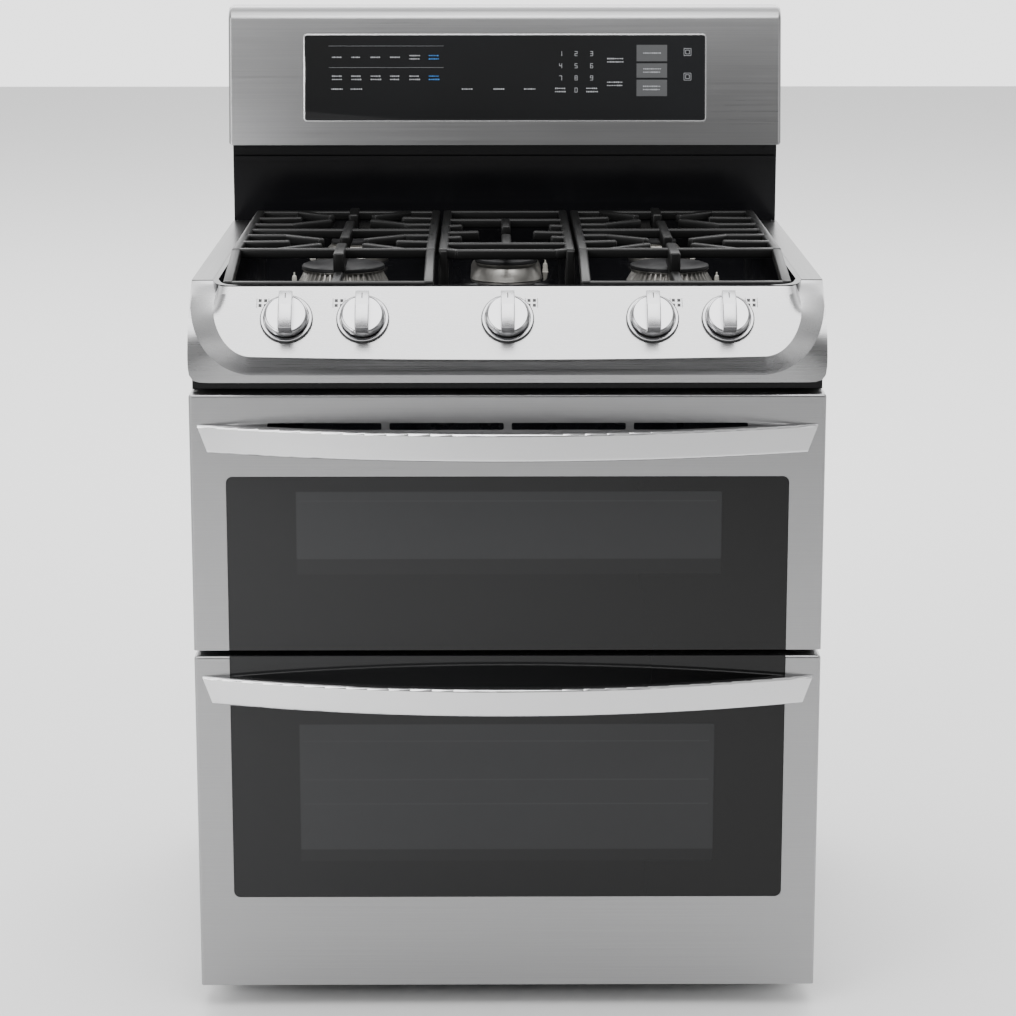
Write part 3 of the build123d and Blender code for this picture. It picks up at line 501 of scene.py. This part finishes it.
def panelPoint(kind, along, side, row):
    # one vertex: kind is side, corner or bottom; along runs 0 to 1 through it
    p = panelSizes
    cx, cz = p["cornerX"], p["cornerZ"]
    facetX, facetZ = p["facetHalf"] - cx, cz - p["crease"]
    name, share = row
    if kind == "side":
        z = p["top"] + (cz - p["top"]) * along
        reach = {"centre": 0, "top": 0, "inset": facetX - p["sCurve"] * share, "facet": facetX}
        x = cx + reach.get(name, 0)
        if name == "band":
            x = cx + facetX + (p["bandX"] - facetX) * share
        if name in ("outer", "wall"):
            x = half
    elif kind == "corner":
        turn = along * math.pi / 2
        c, s = math.cos(turn), math.sin(turn)
        if name in ("centre", "top"):
            x, z = cx, cz
        elif name in ("inset", "facet"):
            cut = p["sCurve"] * share if name == "inset" else 0
            x, z = cx + (facetX - cut) * c, cz - (facetZ - cut) * s
        elif name == "band":
            x = cx + (facetX + (p["bandX"] - facetX) * share) * c
            z = cz - (facetZ + (p["bandZ"] - facetZ) * share) * s
        else:
            a, b, power = half - cx, cz - p["bottom"], p["outlineTurn"]
            reach = ((c / a) ** power + (s / b) ** power) ** (-1 / power)
            x, z = cx + reach * c, cz - reach * s
    else:
        x = cx * (1 - 2 * along)
        sag = p["bow"] * (1 - (x / cx) ** 2)
        z = {"centre": p["top"], "top": cz, "outer": p["bottom"], "wall": p["bottom"],
             "facet": p["crease"] - sag}.get(name)
        if name == "inset":
            z = p["crease"] - sag + p["sCurve"] * share
        if name == "band":
            z = p["crease"] - sag - (p["bandZ"] - facetZ - sag) * share
    y = facetY(z)
    if name in ("inset", "facet"):
        # the facet's rim swings back at its top, close outside the pan's corner
        lift = 1 - share if name == "inset" else 1
        top = ease((z - p["tuckLow"]) / (p["top"] - p["tuckLow"])) if kind != "bottom" else 0
        y += (p["setback"] - p["facetTop"]) * top * lift ** p["foldTurn"]
    if name == "band":
        outerZ = {"side": z, "corner": cz - p["bandZ"] * math.sin(along * math.pi / 2),
                  "bottom": cz - p["bandZ"]}[kind]
        innerZ = {"side": z, "corner": cz - facetZ * math.sin(along * math.pi / 2),
                  "bottom": p["crease"]}[kind]
        top = ease((innerZ - p["tuckLow"]) / (p["top"] - p["tuckLow"])) if kind != "bottom" else 0
        start = facetY(innerZ) + (p["setback"] - p["facetTop"]) * top
        y = start + (baseY(outerZ) - start) * share
    if name == "outer":
        y = baseY(z)
    if name == "wall":
        y = p["setback"]
    return Vector((side * x, front + y, z))


def controlPanel():
    # a grid whose every vertex is set down by panelPoint
    # rows run from the middle of the facet outwards, columns along its rim from left to right
    rows = [("centre", 0), ("top", 0)]
    rows += [("inset", share) for share in (1.0, 0.75, 0.5, 0.35, 0.22, 0.14, 0.07, 0.02)] + [("facet", 0)]
    rows += [("band", share) for share in (0.05, 0.25, 0.5, 0.75, 0.95, 1.0)] + [("outer", 0), ("wall", 0)]
    sides, corners, bottoms = (panelSizes[name] for name in ("sideSteps", "cornerSteps", "bottomSteps"))
    path = [("side", i / sides, -1) for i in range(sides)]
    path += [("corner", i / corners, -1) for i in range(corners)]
    path += [("bottom", i / bottoms, -1) for i in range(bottoms + 1)]
    path += [("corner", 1 - i / corners, 1) for i in range(1, corners + 1)]
    path += [("side", 1 - i / sides, 1) for i in range(1, sides + 1)]
    shape = blank()
    bmesh.ops.create_grid(shape, x_segments=len(path) - 1, y_segments=len(rows) - 1, size=1)
    shape.verts.ensure_lookup_table()
    for vertex in shape.verts:
        column = round((vertex.co.x + 1) / 2 * (len(path) - 1))
        row = round((vertex.co.y + 1) / 2 * (len(rows) - 1))
        kind, along, side = path[column]
        vertex.co = panelPoint(kind, along, side if kind != "bottom" else -1, rows[row])
    return shape


piece("controlPanel", controlPanel(), "brushed_steel", "root", ["control_panel"],
      thick=panelSizes["thick"], sharp=28, look="panel_steel")
print("control panel made")


# knobs with their rings and marks

knobSizes = {
    "radius": 0.026, "start": 0.0042, "face": 0.0150, "chamfer": 0.0008, "hole": 0.0044,
    "web": 0.0007, "seat": 0.00065, "gripWidth": 0.0162,
    "gripLow": 0.0300, "gripTop": 0.0316, "gripHigh": 0.0250, "gripRidge": 0.0040,
    "gripReach": 0.0256, "gripBevel": 0.0011, "gripSunk": 0.003, "steps": 96,
    "ringIn": 0.0269, "ringOut": 0.0303, "ringHigh": 0.0036, "shadeOut": 0.0312, "shadeHigh": 0.0021,
    "markX": 0.0285, "markUp": 0.0215, "markSize": 0.0052, "markLow": -0.0002, "markHigh": 0.00025,
    "dotSpread": 0.62, "dotHalf": 0.36, "barOut": 1.35, "barReach": 1.2, "barHalf": 0.0003,
    "lineNear": 0.0135, "lineFar": 0.0215, "lineHalf": 0.0006, "lineSunk": 0.001, "lineProud": 0.0002,
}


def prism(points, low, high, bevel=0.0, segments=2):
    # a polygon of (y, z) points carried across x
    part = bmesh.new()
    near = [part.verts.new((low, y, z)) for y, z in points]
    far = [part.verts.new((high, y, z)) for y, z in points]
    part.faces.new(near)
    part.faces.new(far[::-1])
    for i in range(len(points)):
        part.faces.new((near[i], near[i - 1], far[i - 1], far[i]))
    bmesh.ops.recalc_face_normals(part, faces=part.faces)
    if bevel:
        rounded(part, bevel, segments)
    return part


def jointFrame(joint):
    # x across the range, y up the sloping face, z out along the joint's axis
    out = Vector(joint["axis"]).normalized()
    right = Vector((1, 0, 0))
    turn = Matrix((right, out.cross(right), out)).transposed().to_4x4()
    return Matrix.Translation(joint["pos_m"]) @ turn


def moved(part, matrix):
    bmesh.ops.transform(part, matrix=matrix, verts=part.verts)
    return part


def ringShape(inner, outer, low, high, edge):
    # a flat ring with eased edges
    profile = [(inner, low), (outer, low), (outer, high - edge), (outer - edge, high),
               (inner + edge, high), (inner, high - edge), (inner, low)]
    return turned(profile, knobSizes["steps"])


joints = {row["name"]: row for row in frame["joints"]}
rings, shades, icons = blank(), blank(), blank()
k = knobSizes
for number in range(1, 6):
    spot = jointFrame(joints[f"knob_{number}_turn"])
    reach, base, r = k["gripReach"], k["face"] - k["gripSunk"], k["radius"]
    # the stem's hole ends just under the face, deep enough for the push
    shape = turned([(0, k["face"] - k["web"]), (k["hole"], k["face"] - k["web"]), (k["hole"], k["start"]),
                    (r - 0.001, k["start"]), (r, k["start"] + 0.001),
                    (r, k["face"] - 0.0028), (r - k["chamfer"], k["face"] - 0.0007), (r - 0.0023, k["face"]),
                    (r - 0.0031, k["face"] - 0.0006), (0, k["face"] - 0.0006)], k["steps"])
    ridge = (k["gripRidge"], k["gripTop"])
    grip = prism([(-reach, base), (-reach, k["gripLow"]), ridge, (reach, k["gripHigh"]), (reach, base)],
                 -k["gripWidth"] / 2, k["gripWidth"] / 2, k["gripBevel"], 3)
    cut = bmesh.ops.bisect_plane(grip, geom=grip.verts[:] + grip.edges[:] + grip.faces[:], clear_inner=True,
                                 plane_co=(0, 0, k["face"] - k["seat"]), plane_no=(0, 0, 1))
    bmesh.ops.edgeloop_fill(grip, edges=[e for e in cut["geom_cut"] if isinstance(e, bmesh.types.BMEdge)])
    bmesh.ops.recalc_face_normals(grip, faces=grip.faces)
    join(shape, grip)
    piece(f"knobDial{number}", moved(shape, spot), "satin_steel", f"dial_{number}", [f"knob_{number}"],
          look="knob_steel")
    slope = (k["gripTop"] - k["gripHigh"]) / (reach - k["gripRidge"])
    corners = ((k["lineNear"], -k["lineSunk"]), (k["lineNear"], k["lineProud"]),
               (k["lineFar"], k["lineProud"]), (k["lineFar"], -k["lineSunk"]))
    mark = prism([(y, k["gripHigh"] + (reach - y) * slope + lift) for y, lift in corners],
                 -k["lineHalf"], k["lineHalf"])
    piece(f"knobMark{number}", moved(mark, spot), "black_plastic", f"dial_{number}")
    join(rings, moved(ringShape(k["ringIn"], k["ringOut"], k["shadeHigh"], k["ringHigh"], 0.0005), spot))
    # painted shadow: a black ring under each bezel, reaching just past its edge as its shadow
    join(shades, moved(ringShape(k["ringIn"], k["shadeOut"], 0.0001, k["shadeHigh"] + 0.0002, 0.0002), spot))
    side = -1 if number < 3 else 1
    # four squares with a bar on each side, as a burner's icon
    dot, low, high = k["markSize"], k["markLow"], k["markHigh"]
    icon = blank()
    for column in (-1, 1):
        for row in (-1, 1):
            cx, cy = side * k["markX"] + column * dot * k["dotSpread"], k["markUp"] + row * dot * k["dotSpread"]
            wing = dot * k["dotHalf"]
            brick(icon, (cx - wing, cy - wing, low), (cx + wing, cy + wing, high))
    for bar in (-1, 1):
        cx, reachUp = side * k["markX"] + bar * dot * k["barOut"], dot * k["barReach"]
        brick(icon, (cx - k["barHalf"], k["markUp"] - reachUp, low), (cx + k["barHalf"], k["markUp"] + reachUp, high))
    join(icons, moved(icon, spot))
piece("knobRings", rings, "satin_steel", "root", ["knob_bezels"], look="ring_steel")
# black rings that stand for the shadow under the bezels
piece("knobShades", shades, "black_plastic", "root")
piece("knobIcons", icons, "black_plastic", "root")
print("knobs made")


# backguard: cover, touch panel and its marks

guardSizes = {"crown": 0.024, "drop": 0.017, "edge": 0.0045, "proud": 0.0006,
              "border": 0.0016, "glassThick": 0.004}
coverLow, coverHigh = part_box("backguard_cover")
paneLow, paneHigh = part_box("control_glass")
leanRun = Vector((0, paneHigh.y - paneLow.y - 0.99 * guardSizes["glassThick"],
                  paneHigh.z - paneLow.z - 0.145 * guardSizes["glassThick"]))
leanUp = leanRun.normalized()
leanOut = Vector((0, -leanUp.z, leanUp.y))
paneMiddle = Vector((0, paneLow.y, paneHigh.z - leanRun.z)) + leanRun / 2
paneHalf, paneRise = paneHigh.x, leanRun.length / 2
paneFrame = Matrix.Translation(paneMiddle) @ Matrix(
    (Vector((1, 0, 0)), leanUp, leanOut)).transposed().to_4x4()


def coverShape(g):
    # side profile with a rounded crown, carried across the width
    shoulderZ = coverHigh.z - g["drop"]
    shoulderY = coverLow.y + (shoulderZ - coverLow.z) * leanUp.y / leanUp.z
    points = [(coverLow.y, coverLow.z), (shoulderY, shoulderZ)]
    for step in range(1, 9):
        turn = step / 8
        y = shoulderY + g["crown"] * (math.sin(turn * math.pi / 2) ** 0.9 * turn ** 0.35 * 0.4
                                      + (1 - math.cos(turn * math.pi / 2)) * 0.6)
        z = shoulderZ + g["drop"] * math.sin(turn * math.pi / 2)
        points.append((y, z))
    points += [(coverHigh.y, coverHigh.z - 0.0001), (coverHigh.y, coverLow.z)]
    part = prism(points, coverLow.x, coverHigh.x)
    ends = [e for e in part.edges if abs(e.verts[0].co.x - e.verts[1].co.x) < 1e-5
            and min(v.co.y for v in e.verts) < coverHigh.y - 0.02]
    rounded(part, g["edge"], 4, ends)
    return part


def plateShape(halfX, halfY, low, high, corner, edge):
    # a flat plate with round corners and a soft front edge
    part = blank()
    bmesh.ops.create_cube(part, size=1)
    bmesh.ops.scale(part, vec=(2 * halfX, 2 * halfY, high - low), verts=part.verts)
    bmesh.ops.translate(part, vec=(0, 0, (high + low) / 2), verts=part.verts)
    posts = [e for e in part.edges if abs(e.verts[0].co.z - e.verts[1].co.z) > 1e-5]
    rounded(part, corner, 5, posts)
    top = [e for e in part.edges if min(v.co.z for v in e.verts) > high - 1e-6]
    rounded(part, edge, 2, top)
    return part


piece("guardCover", coverShape(guardSizes), "brushed_steel", "root", ["backguard_cover"])
g = guardSizes
piece("guardBorder", moved(plateShape(paneHalf + g["border"] / 2, paneRise + g["border"] / 2, -0.003,
                                      g["proud"] * 0.6, 0.0045, 0.0002), paneFrame), "satin_steel", "root")
piece("guardGlass", moved(plateShape(paneHalf - g["border"] / 2, paneRise - g["border"] / 2,
                                     -g["glassThick"], g["proud"], 0.0035, 0.0003), paneFrame),
      "black_glass", "root", ["control_glass"])

segments = {"a": (0, 1, 1, 0), "b": (1, 0.5, 0, 1), "c": (1, -0.5, 0, 1), "d": (0, -1, 1, 0),
            "e": (-1, -0.5, 0, 1), "f": (-1, 0.5, 0, 1), "g": (0, 0, 1, 0)}
digitParts = ["abcdef", "bc", "abged", "abgcd", "fgbc", "afgcd", "afgedc", "abc", "abcdefg", "abcdfg"]
# places are metres from the middle of the glass
marks = {
    "pitch": 0.0266, "left": -0.231, "rows": (0.028, 0.0), "lastRow": -0.0154, "stroke": 0.0006,
    "digit": (0.0016, 0.0029), "lift": 0.0009, "sunk": 0.0001, "gap": 0.0007, "linePitch": 0.0045,
    "dash": (0.0012, 0.0022), "dashTall": (0.0012, 0.0017), "word": 0.013, "longWord": 0.015, "keyWord": 0.022,
    "singles": (-0.0518, -0.0084, 0.0336), "digitLeft": 0.0763, "digitPitch": 0.0213,
    "digitTop": 0.0329, "digitDrop": 0.0166, "zero": (0.0976, -0.0168),
    "besideZero": ((0.0763, -0.0168), (0.119, -0.0168)), "keys": ((0.1512, 0.0238), (0.1512, -0.0084)),
    "pads": ((0.0224, 0.0448), (0.0, 0.0196), (-0.0252, -0.0028)), "padSides": (0.1806, 0.2226),
    "padHeights": (0.0005, 0.0008), "padMiddle": 0.2016, "padWord": 0.024,
    "rules": (0.0434, 0.0140), "ruleMiddle": -0.163, "ruleLength": 0.158, "ruleHigh": 0.0002,
    "squares": (0.035, 0.0014), "squareX": 0.2506, "squareSizes": (0.0048, 0.0026), "squareLine": 0.0005,
}


def stroke(shape, x, y, wide, high):
    # a thin raised dash on the glass
    low = guardSizes["proud"] - marks["sunk"]
    brick(shape, (x - wide / 2, y - high / 2, low), (x + wide / 2, y + high / 2, marks["lift"]))


def words(shape, x, y, length, chance, lines=1):
    # short broken strokes, read as small lettering
    for line in range(lines):
        spot = x - length / 2
        row = y - line * marks["linePitch"] + (lines - 1) * marks["linePitch"] / 2
        while spot < x + length / 2 - marks["stroke"]:
            wide = chance.uniform(*marks["dash"])
            stroke(shape, spot + wide / 2, row, wide, chance.choice(marks["dashTall"]))
            spot += wide + marks["gap"]


def digit(shape, number, x, y):
    # a number of seven straight strokes
    wide, high = marks["digit"]
    for name in digitParts[number]:
        sx, sy, flat, tall = segments[name]
        stroke(shape, x + sx * wide, y + sy * high, 2 * wide * flat + marks["stroke"],
               high * tall + marks["stroke"])


chance = random.Random(4)
pale, blue, pads, padWords = blank(), blank(), blank(), blank()
m = marks
for row, y in enumerate(m["rows"]):
    for column in range(6):
        words(blue if column == 5 else pale, m["left"] + column * m["pitch"], y, m["word"], chance,
              2 if row or column > 3 else 1)
for x in [m["left"] + column * m["pitch"] for column in range(2)] + list(m["singles"]):
    words(pale, x, m["lastRow"], m["longWord"], chance)
for number in range(1, 10):
    digit(pale, number, m["digitLeft"] + (number - 1) % 3 * m["digitPitch"],
          m["digitTop"] - (number - 1) // 3 * m["digitDrop"])
digit(pale, 0, *m["zero"])
for x, y in m["besideZero"]:
    words(pale, x, y, m["longWord"], chance, 2)
for x, y in m["keys"]:
    words(pale, x, y, m["keyWord"], chance, 2)
for number, (low, high) in enumerate(m["pads"]):
    brick(pads, (m["padSides"][0], low, m["padHeights"][0]), (m["padSides"][1], high, m["padHeights"][1]))
    words(padWords, m["padMiddle"], (low + high) / 2, m["padWord"], chance, 2 if number else 1)
for y in m["rules"]:
    stroke(pale, m["ruleMiddle"], y, m["ruleLength"], m["ruleHigh"])
for y in m["squares"]:
    for size in m["squareSizes"]:
        for way in (-1, 1):
            stroke(pale, m["squareX"] + way * size, y, m["squareLine"], 2 * size)
            stroke(pale, m["squareX"], y + way * size, 2 * size, m["squareLine"])
inks = {"paleInk": (0.40, 0.41, 0.43), "blueInk": (0.03, 0.20, 0.55), "padInk": (0.075, 0.077, 0.08)}
for name, colour in inks.items():
    materials[name] = finish(name, glossRecipe(colour, 0.45, 0.04))
piece("marksPale", moved(pale, paneFrame), "white_ceramic", "root", look="paleInk")
piece("marksBlue", moved(blue, paneFrame), "white_ceramic", "root", look="blueInk")
piece("marksPads", moved(pads, paneFrame), "black_plastic", "root", look="padInk")
piece("marksPadWords", moved(padWords, paneFrame), "white_ceramic", "root", look="paleInk")
print("backguard made")


# cast-iron grates: y runs back from the doors, z up from the floor

grateSizes = {
    "top": 0.922, "wide": 0.0118, "tall": 0.0125, "round": 0.0028, "outer": 0.3363, "inner": 0.0948,
    "middle": 0.207, "slope": 0.199, "rear": 0.577, "frontY": 0.072, "frontTop": 0.900, "foot": 0.8636,
    "cross": 0.385, "frontTall": 0.010, "burners": (0.263, 0.502), "fingers": ((0.199, 0.328), (0.438, 0.577)),
    "bend": 0.076, "tip": 0.029, "sideTip": 0.067, "gather": 0.33, "lift": 0.0005, "spineEnd": 0.196,
    # along the middle: start, end, rise at the end, width and height
    "spine": ((0.150, 0.236, 0.0015, 0.0135, 0.026), (0.305, 0.460, 0.001, 0.0128, 0.018),
              (0.532, 0.599, 0.0015, 0.0135, 0.024)),
}
centreSizes = {
    "edge": 0.0788, "first": 0.184, "corner": 0.018, "frontBar": (-0.0621, 0.061), "crossBars": (0.247, 0.486),
    "fingers": ((0.420, 0.057), (0.354, 0.035), (0.305, 0.057)),
    "spine": ((0.486, 0.405), (0.247, 0.325)), "spineWide": 0.0125, "spineTall": 0.018,
}


def strut(shape, start, end, wide=None, tall=None, extra=0.0):
    # a bar with rounded edges between two points along its top
    g = grateSizes
    wide, tall = wide or g["wide"], tall or g["tall"]
    a, b = (Vector((p[0], front + p[1], p[2])) for p in (start, end))
    along = (b - a).normalized()
    part = bmesh.new()
    bmesh.ops.create_cube(part, size=1)
    bmesh.ops.scale(part, vec=((b - a).length + 2 * extra, wide, tall), verts=part.verts)
    rounded(part, g["round"], 3)
    side = Vector((0, 0, 1)).cross(along)
    side = side.normalized() if side.length > 1e-4 else Vector((1, 0, 0))
    up = along.cross(side)
    turn = Matrix((along, side, up)).transposed().to_4x4()
    join(shape, moved(part, Matrix.Translation((a + b) / 2 - up * tall / 2) @ turn))


def sideGrate(side):
    g = grateSizes
    top, wide, near, frontTop = g["top"], g["wide"], g["frontY"], g["frontTop"]
    shape = blank()
    outer, inner, middle = side * g["outer"], side * g["inner"], side * g["middle"]
    for x in (outer, inner):
        strut(shape, (x, g["slope"], top), (x, g["rear"], top), extra=wide / 2)
        strut(shape, (x, near, frontTop), (x, g["slope"], top), extra=0.003)
        for y, legTop in ((near + wide / 2, frontTop), (g["rear"] + wide / 2, top - 0.002)):
            strut(shape, (x, y, g["foot"]), (x, y, legTop), wide, wide)
    strut(shape, (outer, near, frontTop - 0.001), (inner, near, frontTop - 0.001), wide, g["frontTall"])
    for y in (g["slope"], g["cross"], g["rear"]):
        strut(shape, (outer, y, top - 0.0004), (inner, y, top - 0.0004), extra=wide / 3)
    for burnerY, fingers in zip(g["burners"], g["fingers"]):
        for x in (outer, inner):
            way = 1 if x > middle else -1
            bend = middle + way * g["bend"]
            strut(shape, (x, burnerY, top), (middle + way * g["sideTip"], burnerY, top + 0.001))
            for y in fingers:
                tipY = burnerY + (y - burnerY) * g["gather"]
                if y not in (g["slope"], g["rear"]):
                    strut(shape, (x, y, top), (bend, y, top), extra=wide / 4)
                strut(shape, (bend, y, top), (middle + way * g["tip"], tipY, top + g["lift"]),
                      wide * 0.9, extra=0.002)
    strut(shape, (middle, near, frontTop - 0.001), (middle, g["spineEnd"], frontTop - 0.001))
    for start, end, rise, across, high in g["spine"]:
        strut(shape, (middle, start, top), (middle, end, top + rise), across, high)
    return shape


def centreGrate():
    g, c = grateSizes, centreSizes
    top, edge, first, corner = g["top"], c["edge"], c["first"], c["corner"]
    shape = blank()
    for side in (-1, 1):
        x = side * edge
        strut(shape, (x, first + 0.012, top), (x, g["rear"], top), extra=g["wide"] / 2)
        strut(shape, (x, first + corner, top - 0.0002), (side * (edge - corner), first, top - 0.0002), extra=0.003)
        for y in (first + 0.016, g["rear"]):
            strut(shape, (x, y, g["foot"]), (x, y, top - 0.002), g["wide"], g["wide"])
        for y, tip in c["fingers"]:
            strut(shape, (x, y, top), (side * tip, y, top + 0.001))
    left, right = c["frontBar"]
    strut(shape, (left, first, top), (right, first, top), extra=0.001)
    for y in (*c["crossBars"], g["rear"]):
        strut(shape, (-edge, y, top), (edge, y, top))
    for start, end in c["spine"]:
        strut(shape, (0, start, top), (0, end, top + 0.001), c["spineWide"], c["spineTall"])
    return shape


for name, side in (("left", -1), ("right", 1)):
    piece(name + "Grate", sideGrate(side), "cast_iron", name + "_grate", ["grate_" + name])
piece("middleGrate", centreGrate(), "cast_iron", "centre_grate", ["grate_centre"])
print("grates made")


# burners

# each one's x, y, head radius, cap radius and how far it is drawn out into an oval
burnerSizes = {
    "frontLeft": (-0.207, 0.263, 0.0560, 0.0525, 0.0), "frontRight": (0.207, 0.263, 0.0540, 0.0500, 0.0),
    "rearLeft": (-0.207, 0.502, 0.0475, 0.0285, 0.0), "rearRight": (0.207, 0.502, 0.0400, 0.0240, 0.0),
    "centre": (0.0, 0.375, 0.0450, 0.0400, 0.110),
}
burnerHeights = {
    "capTop": 0.893, "cap": 0.0068, "ribs": 44, "ribbedUnder": 0.006, "ribReach": 0.028,
    "sparkGap": 0.0065, "rise": 0.024, "headSeat": 0.0021, "riseSeat": 0.0019, "steps": 176,
}


def stretched(part, x, y, stretch):
    # opens a round part into an oval along y and sets it on the cooktop
    halfStep = Matrix.Rotation(math.pi / burnerHeights["steps"], 3, "Z")
    bmesh.ops.rotate(part, cent=(0, 0, 0), matrix=halfStep, verts=part.verts)
    for vertex in part.verts:
        if abs(vertex.co.y) > 1e-5 and math.hypot(vertex.co.x, vertex.co.y) > 1e-4:
            vertex.co.y += math.copysign(stretch / 2, vertex.co.y)
    bmesh.ops.translate(part, vec=(x, front + y, 0), verts=part.verts)
    return part


heads, caps, sparks = blank(), blank(), blank()
h = burnerHeights
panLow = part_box("cooktop_pan")[0].z
for x, y, headR, capR, stretch in burnerSizes.values():
    low, high = panLow + h["headSeat"], h["capTop"] - h["cap"]
    ribbed = headR - capR < h["ribbedUnder"]
    if ribbed:
        profile = [(0, low), (headR, low), (headR + 0.001, low + 0.004), (headR, low + 0.006),
                   (headR - 0.001, low + 0.009), (capR - 0.0035, high - 0.003), (capR - 0.0025, high),
                   (0, high)]
    else:
        profile = [(0, low), (headR, low), (headR + 0.001, low + 0.003), (headR, low + 0.009),
                   (headR - 0.002, low + 0.0112), (capR + 0.006, high - 0.006), (capR + 0.001, high - 0.001),
                   (capR - 0.001, high), (0, high)]
    head = turned(profile, h["steps"])
    if ribbed and not stretch:
        for vertex in head.verts:
            r, turn = math.hypot(vertex.co.x, vertex.co.y), math.atan2(vertex.co.y, vertex.co.x)
            if low + 0.007 < vertex.co.z < high - 0.001 and r > 0.02:
                grow = 1 + h["ribReach"] * math.copysign(1, math.cos(h["ribs"] * turn + 0.5))
                vertex.co.x, vertex.co.y = vertex.co.x * grow, vertex.co.y * grow
    join(heads, stretched(head, x, y, stretch))
    # a thin bright lip between the head and its cap
    lip = turned([(0, high - 0.0002), (capR - 0.001, high - 0.0002), (capR, high + 0.0008),
                  (capR, high + 0.0016), (0, high + 0.0016)], h["steps"])
    join(heads, stretched(lip, x, y, stretch))
    cap = turned([(0, high + 0.0014), (capR - 0.0004, high + 0.0014), (capR + 0.0002, high + 0.0024),
                  (capR, h["capTop"] - 0.0022), (capR - 0.0008, h["capTop"] - 0.0008),
                  (capR - 0.0030, h["capTop"]), (capR * 0.5, h["capTop"] + 0.0004),
                  (0, h["capTop"] + 0.0005)], h["steps"])
    join(caps, stretched(cap, x, y, stretch))
    way = -1 if x < 0 else 1
    sparkX = x + way * (headR + h["sparkGap"])
    spark = turned([(0, low), (0.0042, low), (0.0042, low + 0.003), (0.0034, low + 0.004), (0.0036, low + 0.0065),
                    (0.0029, low + 0.008), (0.0032, low + 0.0105), (0.0024, low + 0.0145), (0.0011, low + 0.015),
                    (0.0009, low + 0.0185), (0, low + 0.019)], 24)
    bmesh.ops.translate(spark, vec=(sparkX, front + y, 0), verts=spark.verts)
    join(sparks, spark)
piece("burnerHeads", heads, "cast_aluminium", "root", ["burner_heads"], look="head_metal")
piece("burnerCaps", caps, "black_enamel", "root", ["burner_caps"], look="cap_enamel")
piece("sparkPlugs", sparks, "white_ceramic", "root", ["igniters"])

# low rises of the pan round the burners
rises = blank()
for x, y, headR, capR, stretch in burnerSizes.values():
    low = panLow + h["riseSeat"]
    outerR = headR + h["rise"]
    rise = turned([(0, low), (outerR, low), (outerR - 0.004, low + 0.0007), (outerR - 0.010, low + 0.0026),
                   (headR + 0.006, low + 0.0034), (headR + 0.002, low + 0.0030), (0, low + 0.0030)], h["steps"])
    join(rises, stretched(rise, x, y, stretch))
piece("panRises", rises, "black_enamel", "root")
print("burners made")
